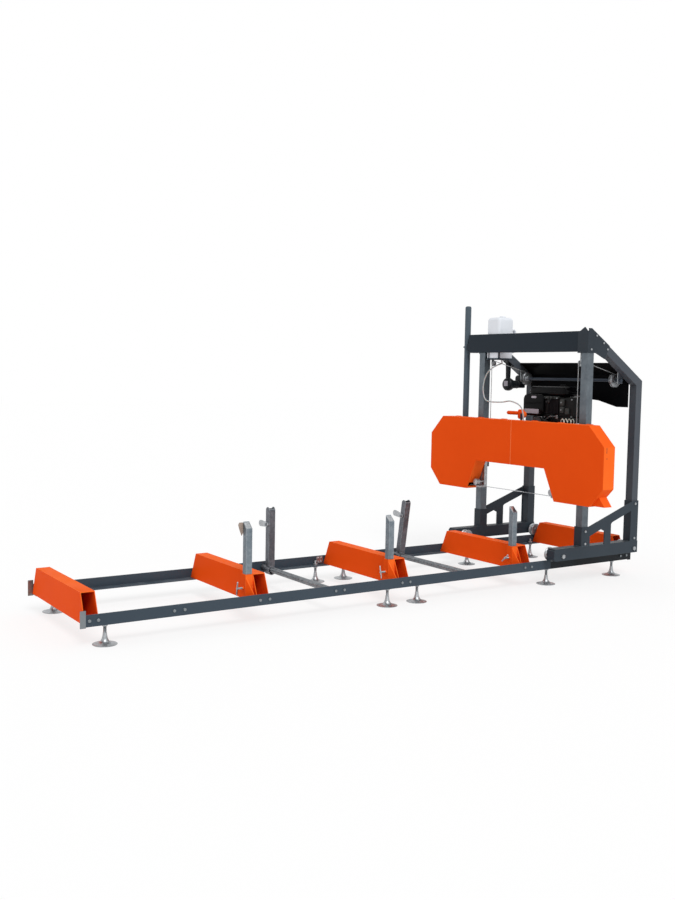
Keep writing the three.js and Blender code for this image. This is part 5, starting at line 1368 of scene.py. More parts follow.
@dataclass
class Carriage:
    """The carriage frame, its wheels, the lift gear and the water tank.

    Attributes:
        wheel_x: Where the wheels run along the track.
        wheel_y: How far the wheels run from the middle.
        axle_z: The axles' height.
        wheel_rim: Half a wheel's profile, as pairs of radius and distance from its middle.
        lift_x: The lift shaft's place along the track.
        lift_z: The lift shaft's height.
        post_x: The front posts' place along the track.
        post_y: How far the far posts and the winch stand from the middle.
        cable_y: How far the lift ropes run from the middle.
        rope_foot: The height of the ropes' lower ends.
        sheave_x: The sheaves' place along the track.
        sheave_z: The sheaves' height.
        drum_groove: The radius of the rope on its drum.
        winch_z: The height of the winch motor's middle.
        motor: The motor's profile, as pairs of radius and place along the track.
        housing: The profile of the motor's front housing.
        brace_foot: The height of the far brace's upper side at its rear end.
        brace_rise: How much the brace rises.
        brace_run: How far it reaches along the track.
        brace_back: The place of its rear end.
        brace_size: The width of its tube.
        upright_y: The round upright's place across the track.
        can_x: The water can's front and back.
        can_y: Its two sides.
        can_levels: Heights up the can, each with how far its outline is drawn in there.
        cap_place: The place of the can's cap.
    """

    wheel_x: tuple[float, float] = (1276, 2000)
    wheel_y: float = 450.0
    axle_z: float = 213.3
    wheel_rim: tuple[Pair, ...] = (
        (10.3, 20), (16, 20), (16.5, 18.8), (24, 18.8), (24.5, 20), (46.4, 20), (48, 18.4), (48, 14),
        (47.2, 13), (40.4, 6.4), (40, 5.6),
    )
    lift_x: float = 1862.0
    lift_z: float = 1430.0
    post_x: float = 1487.0
    post_y: float = 528.0
    cable_y: float = 447.0
    rope_foot: float = 906.3
    sheave_x: float = 1505.5
    sheave_z: float = 1545.0
    drum_groove: float = 45.0
    winch_z: float = 1384.0
    motor: tuple[Pair, ...] = (
        (0, 1722), (30, 1722), (35, 1724), (37.6, 1728), (38, 1733), (38, 1744), (36.6, 1747),
        (31.5, 1748), (30.2, 1752), (30, 1758), (30, 1800), (31.6, 1802), (31.6, 1808), (30, 1810),
        (30, 1826), (33, 1828), (0, 1828),
    )
    housing: tuple[Pair, ...] = (
        (0, 1712), (34, 1712), (43, 1715), (49, 1722), (51, 1732), (51, 1748), (46, 1760), (31, 1768),
        (0, 1768),
    )
    brace_foot: float = 1429.0
    brace_rise: float = 339.0
    brace_run: float = 509.7
    brace_back: float = 2027.0
    brace_size: float = 60.0
    upright_y: float = 741.0
    can_x: Pair = (1465, 1614)
    can_y: Pair = (351, 491)
    can_levels: tuple[Pair, ...] = (
        (1576.3, 9.0), (1578.5, 4.0), (1583, 1.2), (1590, 0.0), (1688, 0.0), (1690.5, 1.6), (1695.5, 1.6),
        (1698, 0.0), (1870, 0.0), (1878, 1.4), (1885, 4.6), (1890.5, 9.4), (1894, 15.0), (1896, 23.0),
    )
    cap_place: Pair = (1560.0, 421.0)

    def build(self) -> None:
        """Dresses the solids and builds the carriage's finer pieces."""
        dress(["side_frame_near", "side_frame_far"], Stock.SIDE_FRAME, 0.0014)
        dress(["front_post_near", "front_post_far"], Stock.POST_ZINC, 0.0022)
        dress(["rear_post_near", "rear_post_far"], Stock.REAR_POST, 0.002)
        dress(["top_beam"], Stock.TOP_BEAM, 0.0016)
        dress(["hood"], Stock.HOOD, 0.0008)
        for side in Side:
            for place, x in zip(("front", "rear"), self.wheel_x):
                self.build_wheel(side, place, x)
            self.build_lift_cable(side)
            self.build_sheave(side)
            self.build_frame_welds(side)
        self.build_lift_shaft()
        self.build_winch()
        self.build_upright()
        self.build_tank()

    def build_wheel(self, side: Side, place: str, x: float) -> None:
        """Builds one grooved carriage wheel with its pressed bearing.

        Args:
            side: The wheel's side.
            place: Whether it is the front or the rear one.
            x: Its place along the track.
        """
        front = [(radius, -along) for radius, along in self.wheel_rim]
        mesh = PieceMesh()
        centre = (x, side.value * self.wheel_y, self.axle_z)
        mesh.turned([*front, *reversed(self.wheel_rim)], Axis.Y, centre, 56, closed=True)
        wheel = f"wheel_{side.word}_{place}"
        piece = mesh.build(f"track_{wheel}", Stock.ZINC, wheel, "zinc")
        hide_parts(wheel)

    def build_lift_cable(self, side: Side) -> None:
        """Builds one lift rope: the upright run to the head and the slanted run to the drum.

        Args:
            side: The rope's side.
        """
        y = side.value * self.cable_y
        low, high = self.rope_foot, self.sheave_z
        steps = 120
        path = [(self.post_x, y, high + (low - high) * i / steps) for i in range(steps + 1)]
        mesh = PieceMesh()
        mesh.swept(path, 3.0, 18, lobes=6, lay=34.0)
        rope = mesh.build(f"lift_rope_{side.word}", Stock.ROPE, "carriage", "zinc", ride=False)
        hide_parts(f"lift_cable_{side.word}")
        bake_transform(rope)
        reach = self.sheave_x - self.post_x
        across, fall = self.lift_x - self.sheave_x, self.lift_z - self.sheave_z
        apart = math.hypot(across, fall)
        leave = math.atan2(fall, across) + math.acos((reach - self.drum_groove) / apart)
        wrap = []
        for i in range(13):
            angle = math.pi + (leave - math.pi) * i / 12
            x, z = self.sheave_x + reach * math.cos(angle), self.sheave_z + reach * math.sin(angle)
            wrap.append((x, y, z))
        drum = self.on_drum(leave, y - side.value * 4)
        start = Vector(wrap[-1])
        run = [tuple(start.lerp(Vector(drum), i / 70)) for i in range(1, 71)]
        around = []
        for i in range(1, 40):
            around.append(self.on_drum(leave - 2 * math.pi * i / 39, y + side.value * (7 * i / 39 - 4)))
        slanted = PieceMesh()
        slanted.swept([*wrap, *run, *around], 2.8, 14, lobes=6, lay=34.0)
        slanted.build(f"lift_rope_return_{side.word}", Stock.ROPE, "carriage", "zinc")
        thimble = PieceMesh()
        thimble.block((self.post_x - 9, y - 11.5, 906.2), (self.post_x + 9, y + 11.5, 918), 2)
        neck = [(0, 918), (5.5, 918), (6, 922), (6, 944), (4.5, 948), (0, 948)]
        thimble.turned(neck, Axis.Z, (self.post_x, y, 0), 20)
        thimble.build(f"rope_anchor_{side.word}", Stock.ZINC, "head", "zinc")

    def on_drum(self, angle: float, y: float) -> Point:
        """Finds where a rope lies on its drum.

        Args:
            angle: How far round the drum, in radians.
            y: The place across the track.

        Returns:
            The point.
        """
        groove = self.drum_groove
        return self.lift_x + groove * math.cos(angle), y, self.lift_z + groove * math.sin(angle)

    def build_sheave(self, side: Side) -> None:
        """Builds the small grooved wheel under the top beam and the plate that holds it.

        Args:
            side: The sheave's side.
        """
        y = side.value * self.cable_y
        mesh = PieceMesh()
        groove = self.sheave_x - self.post_x - 3.2
        profile = [(3, -6), (21, -6), (21, -4.4), (groove, -2.2), (groove, 2.2), (21, 4.4), (21, 6), (3, 6)]
        mesh.turned(profile, Axis.Y, (self.sheave_x, y, self.sheave_z), 40, closed=True)
        plate = span(y + side.value * 8, y + side.value * 12)
        low = (self.sheave_x - 14, plate[0], self.sheave_z - 16)
        mesh.block(low, (self.sheave_x + 10, plate[1], 1625.8), 1)
        start, end = span(y - side.value * 7.5, y + side.value * 18)
        axle = (self.sheave_x, 0, self.sheave_z)
        mesh.turned([(0, start), (5, start), (5, end), (0, end)], Axis.Y, axle, 20)
        mesh.hexagon(Axis.Y, axle, 8, *span(y + side.value * 12, y + side.value * 17))
        mesh.build(f"rope_sheave_{side.word}", Stock.ZINC, "carriage", "zinc")

    def build_frame_welds(self, side: Side) -> None:
        """Builds the weld beads where the front sleeve meets the bottom beam and the side plate.

        Args:
            side: The side frame's side.
        """
        mesh = PieceMesh()
        outer = side.value * 563.3
        for x in (1451.7, 1522.3):
            mesh.bead((x, outer, 268.4), (x, outer - side.value * 68, 268.4), 2.6)
        face, corner = outer - side.value * 1.0, outer - side.value * 3.0
        mesh.bead((1453, face, 269.0), (1521, face, 269.0), 2.2)
        mesh.bead((1524, corner, 403), (1524, corner, 270), 1.6)
        mesh.build(f"side_frame_welds_{side.word}", Stock.ANTHRACITE, "carriage", "rail_paint")

    def build_lift_shaft(self) -> None:
        """Builds the lift shaft and its two grooved drums with collars and cover screws."""
        centre = (self.lift_x, 0, self.lift_z)
        shaft = PieceMesh()
        bar = [(0, -512), (9.8, -512), (11, -510.8), (11, 560.8), (9.8, 562), (0, 562)]
        shaft.turned(bar, Axis.Y, centre, 32)
        shaft.build("lift_bar", Stock.LIFT_BAR, "lift_shaft", "zinc")
        mesh = PieceMesh()
        for way in (-1, 1):
            middle = way * self.cable_y
            half = [(11.2, 12), (48.8, 12), (50, 11), (50, 9.6), (42, 8)]
            drum = [(radius, middle - out) for radius, out in half]
            drum += [(radius, middle + out) for radius, out in reversed(half)]
            mesh.turned(drum, Axis.Y, centre, 48, closed=True)
            inner = middle - way * 12
            start, end = span(inner, inner - way * 16)
            collar = [(11.2, start), (19, start + 1), (19, end - 1), (11.2, end)]
            mesh.turned(collar, Axis.Y, centre, 28, closed=True)
            for across, rise in circle(5, 30):
                spot = (self.lift_x + across, 0, self.lift_z + rise)
                mesh.hexagon(Axis.Y, spot, 4.5, *span(middle - way * 12, middle - way * 15))
        piece = mesh.build("lift_drums", Stock.ZINC, "lift_shaft", "zinc")
        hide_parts("lift_shaft")

    def build_winch(self) -> None:
        """Builds the winch: housing, ribbed motor, gearbox, shaft ring, and the strut that holds it."""
        y, z = self.post_y, self.winch_z
        mesh = PieceMesh()
        mesh.turned(self.motor, Axis.X, (0, y, z), 44)
        mesh.turned(self.housing, Axis.X, (0, y, z), 44)
        ends = [Vector((x, y, z)) for x in (1756, 1798)]
        for a, b in circle(18, 1.0):
            across = Vector((0, a, b))
            beside = Vector((0, -b, a)) * 1.1
            root, rim = across * 29.4, across * 32.4
            rib = ((root, -1), (rim, -1), (rim, 1), (root, 1))
            mesh.rings([[end + out + beside * way for out, way in rib] for end in ends])
        mesh.block((1826, 501, 1356), (1898, 555, 1408), 5)
        ring = [(11.4, 501), (24, 501), (27, 504), (27, 552), (24, 555), (11.4, 555)]
        mesh.turned(ring, Axis.Y, (self.lift_x, 0, self.lift_z), 40, closed=True)
        mesh.block((self.lift_x - 27, 501.6, 1404), (self.lift_x - 12.6, 554.4, 1430), 3)
        mesh.block((self.lift_x + 12.6, 501.6, 1404), (self.lift_x + 27, 554.4, 1430), 3)
        for across in (-28, 28):
            for rise in (-18, 18):
                spot = (self.lift_x + across, 0, 1382 + rise)
                mesh.hexagon(Axis.Y, spot, 4.6, 497.6, 501.4)
                mesh.hexagon(Axis.Y, spot, 4.6, 554.6, 558.4)
        hub = [(0, 1896), (13, 1896), (13, 1908), (11, 1910), (9, 1911), (9, 1919), (8, 1920), (0, 1920)]
        mesh.turned(hub, Axis.X, (0, y, z), 28)
        strut = []
        for height, front, back in (
            (1388, 1722, 1748), (1440, 1724, 1746), (1500, 1722, 1748), (None, 1718, 1752),
        ):
            corners = ((front, y - 15), (back, y - 15), (back, y + 15), (front, y + 15))
            level = [(x, b, self.brace_under(x) if height is None else height) for x, b in corners]
            strut.append([Vector(p) for p in level])
        mesh.rings(strut)
        foot = []
        for x in (1702, 1768):
            top = self.brace_under(x)
            corners = ((y - 30, top), (y + 30, top), (y + 30, top - 6), (y - 30, top - 6))
            foot.append([Vector((x, b, c)) for b, c in corners])
        mesh.rings(foot)
        for x in (1710, 1760):
            for dy in (-20, 20):
                low = self.brace_under(x) - 12
                mesh.hexagon(Axis.Z, (x, y + dy, 0), 6, low, low + 6.4)
        plate = PieceMesh()
        plate.pillow(Axis.X, (1710.8, y - 22, z - 14), (1712.2, y + 22, z + 26), 3, 0.4)
        plate.build("bare_winch_plate", Stock.ENGINE_TRIM, "carriage", "zinc")
        piece = mesh.build("winch_motor", Stock.WINCH, "carriage", "hood_paint")
        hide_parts("winch")

    def brace_under(self, x: float) -> float:
        """Finds the height of the far brace's underside.

        Args:
            x: The place along the track.

        Returns:
            The height, with the seat's gap taken off.
        """
        slope = self.brace_rise / self.brace_run
        depth = self.brace_size * math.hypot(1.0, slope)
        return self.brace_foot + (self.brace_back - x) * slope - depth - 0.3

    def build_upright(self) -> None:
        """Builds the round upright with its domed cap, bolt end, nut and washer."""
        mesh = PieceMesh()
        centre = (self.post_x, self.upright_y, 0.0)
        profile = [
            (21, 1010), (23.3, 1010), (24, 1010.8), (24, 1983), (23, 1988), (20, 1992), (14, 1995),
            (0, 1996),
        ]
        inner = [(0, 1978), (21, 1976)]
        mesh.turned([*profile, *inner], Axis.Z, centre, 40, closed=True)
        bolt = (self.post_x, 0, 1674)
        mesh.washer(Axis.Y, bolt, 14, 763.6, 766.4)
        mesh.hexagon(Axis.Y, bolt, 9.5, 766.4, 776.6)
        mesh.turned([(0, 776), (5, 776), (5, 786), (4, 787), (0, 787)], Axis.Y, bolt, 20)
        piece = mesh.build("upright_round_tube", Stock.UPRIGHT, "carriage", "rail_paint")
        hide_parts("upright_tube")

    def build_tank(self) -> None:
        """Builds the moulded water can: soft corners and shoulders, filler cap, handle, outlet and rim."""
        mesh = PieceMesh()
        mesh.rings([self.can_ring(z, inset) for z, inset in self.can_levels])
        cap = [
            (0, 1894), (21, 1894), (21, 1895), (23, 1896), (23, 1903.5), (21.6, 1906), (14, 1907),
            (0, 1907),
        ]
        mesh.turned(cap, Axis.Z, (*self.cap_place, 0), 36)
        mesh.knurls(self.cap_place, 22.6, 24, 1.3, (1896.6, 1903), 0.5)
        spout = [(0, 1560), (6.5, 1560), (7, 1561), (7, 1568), (9, 1569), (9, 1579), (0, 1579)]
        mesh.turned(spout, Axis.Z, (1552, 408, 0), 24)
        handle = (
            (1602, 1802), (1630, 1800), (1640, 1782), (1641, 1716), (1639, 1650), (1628, 1634),
            (1602, 1632),
        )
        grip = catmull([(x, 0, z) for x, z in handle], 6)
        rings = []
        for i, (x, _, z) in enumerate(grip):
            before, after = grip[max(i - 1, 0)], grip[min(i + 1, len(grip) - 1)]
            run = Vector((after[0] - before[0], 0, after[2] - before[2])).normalized()
            out = Vector((run.z, 0, -run.x))
            middle = Vector((x, 369, z))
            section = rounded((-7, 7), (-15, 15), 6, 3)
            rings.append([middle + out * a + Vector((0, b, 0)) for a, b in section])
        mesh.rings(rings)
        piece = mesh.build("water_can", Stock.TANK, "carriage", "tank_white")
        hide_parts("water_tank")
        strap = PieceMesh()
        hoop = ((1577, -1.6), (1584, -1.6), (1584, -0.2), (1577, -0.2))
        strap.rings([self.can_ring(z, inset) for z, inset in hoop], closed=True)
        strap.block((1462, 459.2, 1571.9), (1618, 494, 1575.6), 0.8)
        strap.build("water_can_rim", Stock.ANTHRACITE, "carriage", "rail_paint")

    def can_ring(self, z: float, inset: float) -> list[Vector]:
        """Draws the can's outline at one height.

        Args:
            z: The height.
            inset: How far the outline is drawn in from the can's sides.

        Returns:
            The outline's points.
        """
        (front, back), (near, far) = self.can_x, self.can_y
        corner = max(20 - inset * 0.5, 4)
        outline = rounded((front + inset, back - inset), (near + inset, far - inset), corner)
        return [Vector((x, y, z)) for x, y in outline]


@dataclass
class SawHead:
    """The lifting saw head: frame, guard, blade and its wheels, lever and hose.

    Attributes:
        hinge_x: The guard hinges' place along the track.
        hinge_z: The guard hinges' height.
        hinge_y: How far the hinges of one cover lie from the middle.
        guard_half: Half the guard's width.
        lever_x: The clutch lever's place along the track.
        lever_y: Its pin's place across the track.
        lever_z: Its pin's height.
        grip: The lever's profile, as pairs of radius and place across the track.
        hose_radius: The hose's radius.
        hose_route: The points that the hose passes.
    """

    hinge_x: float = 1371.7
    hinge_z: float = 1127.0
    hinge_y: tuple[float, ...] = (160, 420, 680)
    guard_half: float = 900.0
    lever_x: float = 1430.0
    lever_y: float = 30.0
    lever_z: float = 1166.0
    grip: tuple[Pair, ...] = (
        (0, 44), (9.4, 44), (9.4, 86), (13.4, 90), (14.4, 98), (13.8, 112), (14.4, 130), (13.8, 148),
        (14.4, 164), (13.6, 188), (9, 196), (0, 198),
    )
    hose_radius: float = 5.0
    hose_route: tuple[Point, ...] = (
        (1552, 408, 1559.7), (1552, 408, 1545), (1497, 396, 1531), (1448, 410, 1502), (1440, 454, 1456),
        (1440, 484, 1385), (1440, 482, 1310), (1434, 430, 1255), (1412, 250, 1251), (1400, 130, 1261),
        (1397, 15, 1216), (1397, -16, 1080), (1397, -16, 940), (1397, -16, 924.3),
    )

    def build(self) -> None:
        """Dresses the solids and builds the head's finer pieces."""
        dress(["head_frame"], Stock.HEAD_FRAME, 0.0014)
        dress(["guard_cover_near", "guard_cover_far"], Stock.ORANGE, 0.002)
        dress(["guard_back"], Stock.ORANGE, 0.001)
        dress(["band_wheel_near", "band_wheel_far", "engine_pulley"], Stock.IRON, 0.0)
        dress(["blade"], Stock.BLADE, 0.0)
        dress(["blade_guide"], Stock.ZINC, 0.001)
        dress(["drive_belt"], Stock.RUBBER, 0.0)
        for side in Side:
            self.build_guard_fittings(side)
        self.build_lever()
        self.build_hose()

    def build_guard_fittings(self, side: Side) -> None:
        """Builds one cover's hinges with their screws, its lock, and the thin lip at the seam, which is
        painted pale as a highlight.

        Args:
            side: The cover's side.
        """
        mesh = PieceMesh()
        hinge_x, hinge_z = self.hinge_x, self.hinge_z
        screw = [(0, 1.3), (4.5, 1.3), (4.2, 2.1), (2.5, 2.9), (0, 3.1)]
        for spot in self.hinge_y:
            y = side.value * spot
            barrel = [(0, y - 30), (1.6, y - 30), (2, y - 29), (2, y + 29), (1.6, y + 30), (0, y + 30)]
            mesh.turned(barrel, Axis.Y, (hinge_x - 2.9, 0, hinge_z + 2.3), 20)
            mesh.block((hinge_x - 32, y - 28, hinge_z + 0.2), (hinge_x - 4, y + 28, hinge_z + 1.5), 0.5)
            for dy in (-18, 18):
                mesh.turned(screw, Axis.Z, (hinge_x - 20, y + dy, hinge_z), 18)
        mesh.build(f"cover_hinges_{side.word}", Stock.ORANGE, f"guard_cover_{side.word}", "orange_paint")
        lock = PieceMesh()
        end = side.value * self.guard_half
        face = span(end - side.value * 0.6, end + side.value * 0.3)
        lock.pillow(Axis.Y, (1295, face[0], 948), (1299, face[1], 988), 1.9, 0.1)
        dot = [(0, face[0]), (3.4, face[0]), (3.4, face[1]), (0, face[1])]
        lock.turned(dot, Axis.Y, (1300, 0, 914), 18)
        lock.build(f"cover_lock_{side.word}", Stock.BLACK_GRIP, f"guard_cover_{side.word}", "belt_rubber")
        if side is Side.NEAR:
            # A painted highlight: a thin pale orange strip along the seam between the covers.
            highlight_lip = PieceMesh()
            highlight_lip.block((1270.4, -16.6, 806), (1271.4, -14.9, 1126), 0.3)
            highlight_lip.build("cover_seam_highlight", Stock.SEAM_HIGHLIGHT_ORANGE, "guard_cover_near", "orange_paint")

    def build_lever(self) -> None:
        """Builds the clutch lever: turned hub, block and moulded grip with its core pieces."""
        x, y, z = self.lever_x, self.lever_y, self.lever_z
        mesh = PieceMesh()
        hub = [(7.3, -14), (22.5, -14), (24, -12.5), (24, 12.5), (22.5, 14), (7.3, 14)]
        mesh.turned([(radius, x + along) for radius, along in hub], Axis.X, (0.0, y, z), 36, closed=True)
        mesh.pillow(Axis.X, (x - 12, y - 4, z - 33), (x + 12, y + 46, z + 38), 16, 4)
        mesh.turned(self.grip, Axis.Y, (x, 0, z + 9), 28)
        for way in (-1, 1):
            mesh.block((x - 5, 150 - 3 + way * 0.1, z + 6), (x + 5, 153, z + 12), 1)
        piece = mesh.build("clutch_handle", Stock.ORANGE, "clutch_lever", "orange_paint")
        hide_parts("clutch_lever")

    def build_hose(self) -> None:
        """Builds the water hose from the can's outlet to the boss on the head's beam, with its clip."""
        path = catmull(self.hose_route, 6)
        mesh = PieceMesh()
        mesh.swept(path, self.hose_radius, 16)
        hose = mesh.build("water_line", Stock.HOSE, "carriage", "hose_clear", ride=False)
        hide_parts("water_hose")
        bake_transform(hose)
        clip = PieceMesh()
        band = [(5.2, 930), (7, 930), (7, 938), (5.2, 938)]
        clip.turned(band, Axis.Z, (*self.hose_route[-1][:2], 0), 20, closed=True)
        clip.build("hose_clip_head", Stock.ZINC, "head", "zinc")


@dataclass
class Engine:
    """The head's petrol engine: case, fins, air box, fuel tank, muffler, starter and controls.

    Attributes:
        deck_z: The height of its mounting face.
        case_x: The crankcase's front and back.
        case_half: Half the crankcase's width.
        case_top: The crankcase's top.
        fin_count: How many cooling fins it has.
        fin_pitch: The step from fin to fin.
        fin_near: Where the nearest fin stands.
        cast_covers: The head cover and the cast bosses beside the fins.
        air_cleaner: The air cleaner's body, its glossy cover and the seam between them.
        bare_plates: The bare plate and the oval badge place on its cover.
        fuel_shell: The fuel tank's shell and its seam.
        muffler: The muffler and the box under it.
        plug_y: The spark plug's place across the track.
        plug_z: Its height.
        cap_place: The place of the fuel tank's cap.
        slots: How many slats the muffler's guard has.
        slot_pitch: The step from slat to slat.
        starter_z: The height of the pull starter's middle.
        starter_drum: Its profile, as pairs of radius and place along the track.
        coil_place: The middle of the first turn of the coil of control cable.
        coil_along: Which way the coil runs, as shares of X and Y.
    """

    deck_z: float = 995.3
    case_x: Pair = (1592, 1762)
    case_half: float = 108.0
    case_top: float = 1178.0
    fin_count: int = 13
    fin_pitch: float = 14.4
    fin_near: float = -150.0
    cast_covers: tuple[Box, ...] = (
        (Axis.Z, (1602, -146, 1287), (1744, 34, 1305), 18, 5),
        (Axis.X, (1593, -130, 1284), (1604, -114, 1304), 5, 2),
        (Axis.X, (1593, -96, 1284), (1604, -80, 1304), 5, 2),
        (Axis.X, (1593, -62, 1284), (1604, -46, 1304), 5, 2),
        (Axis.X, (1593, -28, 1284), (1604, -12, 1304), 5, 2),
        (Axis.X, (1590, -216, 1184), (1608, -180, 1232), 9, 4),
        (Axis.X, (1590, -216, 1238), (1608, -180, 1286), 9, 4),
        (Axis.X, (1594, -262, 1176), (1610, -226, 1222), 8, 4),
    )
    air_cleaner: tuple[Box, ...] = (
        (Axis.X, (1601, 44, 1152), (1744, 186, 1322), 46, 10),
        (Axis.X, (1576, -24, 1152), (1603, 186, 1318), 42, 11),
        (Axis.X, (1598, -20, 1157), (1606, 182, 1313), 38, 1),
    )
    bare_plates: tuple[Box, ...] = (
        (Axis.X, (1574.8, 18, 1172), (1576.4, 168, 1206), 3, 0.6),
        (Axis.X, (1574.8, 46, 1287), (1576.4, 98, 1303), 7.8, 0.6),
    )
    fuel_shell: tuple[Box, ...] = (
        (Axis.Y, (1612, -206, 1301), (1800, 160, 1378), 28, 24),
        (Axis.Z, (1604, -211, 1334), (1806, 166, 1339), 30, 1.6),
    )
    muffler: tuple[Box, ...] = (
        (Axis.X, (1608, -300, 1150), (1738, -150, 1296), 26, 8),
        (Axis.Z, (1600, -300, 1112), (1740, -60, 1156), 20, 6),
    )
    plug_y: float = -56.0
    plug_z: float = 1262.0
    cap_place: Pair = (1706.0, -103.0)
    slots: int = 9
    slot_pitch: float = 13.6
    starter_z: float = 1133.3
    starter_drum: tuple[Pair, ...] = (
        (0, 1760), (132, 1760), (132, 1768), (126, 1778), (114, 1784), (112, 1788), (106, 1804),
        (101, 1809), (96, 1811), (0, 1811),
    )
    coil_place: Point = (1462, -326, 1134)
    coil_along: Pair = (0.833, -0.553)

    def build(self) -> None:
        """Builds the engine's pieces."""
        self.build_case()
        self.build_fins()
        self.build_air_box()
        self.build_fuel_tank()
        self.build_muffler()
        self.build_starter()
        self.build_controls()

    def build_case(self) -> None:
        """Builds the crankcase with its front cover, foot, ribs, oil filler and bolts."""
        mesh = PieceMesh()
        front, back = self.case_x
        half, deck = self.case_half, self.deck_z
        mesh.pillow(Axis.Z, (front + 8, -half, deck + 6), (back, half, self.case_top), 22, 8)
        cover = (front, -half + 8, deck + 14), (front + 14, half - 8, self.case_top - 10)
        mesh.pillow(Axis.X, *cover, 40, 5)
        mesh.block((front, -118, deck), (back, 118, deck + 16), 3)
        for y in (-64, -32, 32, 64):
            mesh.block((front + 20, y - 2.5, deck + 14), (front + 24, y + 2.5, self.case_top + 2), 1)
        for y in (-72, 0, 72):
            mesh.block((front + 4, y - 3, deck + 16), (front + 12, y + 3, deck + 60), 1.2)
        oil = [(0, 1584), (9, 1584), (11, 1586), (11, 1594), (13, 1596), (0, 1596)]
        mesh.turned(oil, Axis.X, (0, 88, deck + 34), 24)
        piece = mesh.build("engine_case", Stock.ENGINE, "head", "engine_black")
        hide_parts("engine")
        bolts = PieceMesh()
        for across, rise in circle(8, 1.0, 0.5):
            bolts.hexagon(Axis.X, (0, 84 * across, 1086 + 68 * rise), 6, 1586.6, 1592.2)
        for y in (-112, 112):
            for x in (1606, 1748):
                bolts.hexagon(Axis.Z, (x, y, 0), 7, deck + 16, deck + 23)
        boss = [(13, 1588), (30, 1588), (32, 1590), (32, 1592.4), (13, 1592.4)]
        bolts.turned(boss, Axis.X, (0, 0, 1101), 32, closed=True)
        bolts.build("engine_bolts", Stock.ENGINE_METAL, "head", "zinc")

    def build_fins(self) -> None:
        """Builds the cylinder's upright cooling fins, the cast covers, the spark plug and its lead."""
        mesh = PieceMesh()
        mesh.pillow(Axis.Z, (1616, -152, self.case_top - 2), (1732, 36, 1280), 22, 3)
        for i in range(self.fin_count):
            y = self.fin_near + self.fin_pitch * i
            mesh.pillow(Axis.Y, (1600, y, 1166), (1748, y + 4.4, 1286), 14, 1.6)
            gap = y + self.fin_pitch / 2
            mesh.pillow(Axis.Y, (1608, gap, 1172), (1740, gap + 2.6, 1278), 12, 1)
        mesh.build("engine_fins", Stock.ENGINE_FINS, "head", "engine_black")
        covers = PieceMesh()
        covers.pillows(self.cast_covers)
        covers.build("engine_cast_covers", Stock.ENGINE_CAST, "head", "engine_black")
        plug = PieceMesh()
        core = [(0, 1586), (5, 1586), (6, 1590), (6, 1598), (9, 1599), (9, 1603), (0, 1603)]
        middle = (0, self.plug_y, self.plug_z)
        plug.turned(core, Axis.X, middle, 20)
        for y in (-140, -30):
            plug.hexagon(Axis.X, (0, y, 1292), 6, 1598.4, 1605)
        plug.build("spark_plug", Stock.ENGINE_METAL, "head", "zinc")
        lead = PieceMesh()
        boot = [(0, 1577), (6.4, 1577), (7.6, 1580), (7.6, 1589), (0, 1589)]
        lead.turned(boot, Axis.X, middle, 20)
        route = [
            (1580, self.plug_y, self.plug_z), (1573, -66, 1266), (1576, -90, 1276), (1590, -108, 1296),
            (1636, -120, 1303), (1690, -124, 1305),
        ]
        lead.swept(catmull(route, 6), 3.4, 12)
        lead.build("plug_lead", Stock.BLACK_GRIP, "head", "belt_rubber")

    def build_air_box(self) -> None:
        """Builds the air cleaner and the bare plates on its cover."""
        mesh = PieceMesh()
        mesh.pillows(self.air_cleaner)
        mesh.build("air_cleaner_box", Stock.ENGINE, "head", "engine_black")
        plates = PieceMesh()
        plates.pillows(self.bare_plates)
        plates.build("bare_engine_plates", Stock.ENGINE_TRIM, "head", "zinc")

    def build_fuel_tank(self) -> None:
        """Builds the pressed fuel tank with its seam, filler cap and stays."""
        mesh = PieceMesh()
        mesh.pillows(self.fuel_shell)
        rim = [(0, 1374), (24.5, 1374), (26, 1377), (26, 1388), (24, 1391), (12, 1392), (0, 1392)]
        mesh.turned(rim, Axis.Z, (*self.cap_place, 0), 36)
        mesh.knurls(self.cap_place, 25.4, 18, 1.6, (1378, 1389), 0.6)
        for y in (-120, 96):
            mesh.block((1620, y - 11, 1280), (1625, y + 11, 1304), 1.4)
        mesh.build("fuel_tank", Stock.ENGINE, "head", "engine_black")

    def build_muffler(self) -> None:
        """Builds the muffler behind its slotted guard, with its screws."""
        mesh = PieceMesh()
        mesh.pillows(self.muffler)
        for i in range(self.slots):
            z = 1164 + i * self.slot_pitch
            mesh.pillow(Axis.Y, (1618, -304, z), (1732, -298, z + 7.4), 3.4, 1.6)
        mesh.build("muffler_and_guard", Stock.ENGINE_DARK, "head", "engine_black")
        screws = PieceMesh()
        for z in (1208, 1262):
            screws.hexagon(Axis.X, (0, -198, z), 6, 1584, 1590.4)
        for z in (1160, 1284):
            cup = [(0, 1600), (4, 1600), (5.4, 1602), (5.4, 1609), (0, 1609)]
            screws.turned(cup, Axis.X, (0, -284, z), 18)
        screws.build("muffler_screws", Stock.ENGINE_METAL, "head", "zinc")

    def build_starter(self) -> None:
        """Builds the pull starter on the engine's rear: ribbed cover, screws and grip."""
        mesh = PieceMesh()
        z = self.starter_z
        mesh.turned(self.starter_drum, Axis.X, (0, 0, z), 48)
        middle = Vector((1809.4, 0, z))
        for a, b in circle(26, 1.0):
            across, outward = Vector((0, -b, a)), Vector((0, a, b))
            start = middle + outward * 34
            end = middle + outward * 92
            points = [start - across * 2.4, start + across * 2.4, end + across * 3.6, end - across * 3.6]
            mesh.rings([[p + Vector((out, 0, 0)) for p in points] for out in (-1, 2.4)])
        mesh.turned([(0, 1809), (29, 1809), (29, 1811), (26, 1812), (0, 1812)], Axis.X, (0, 0, z), 40)
        for across, rise in circle(4, 121, 0.5):
            mesh.hexagon(Axis.X, (0, across, z + rise), 7, 1778, 1786)
        mesh.pillow(Axis.Y, (1788, 92, z + 54), (1804, 126, z + 72), 7, 4)
        mesh.build("pull_starter", Stock.ENGINE, "head", "engine_black")

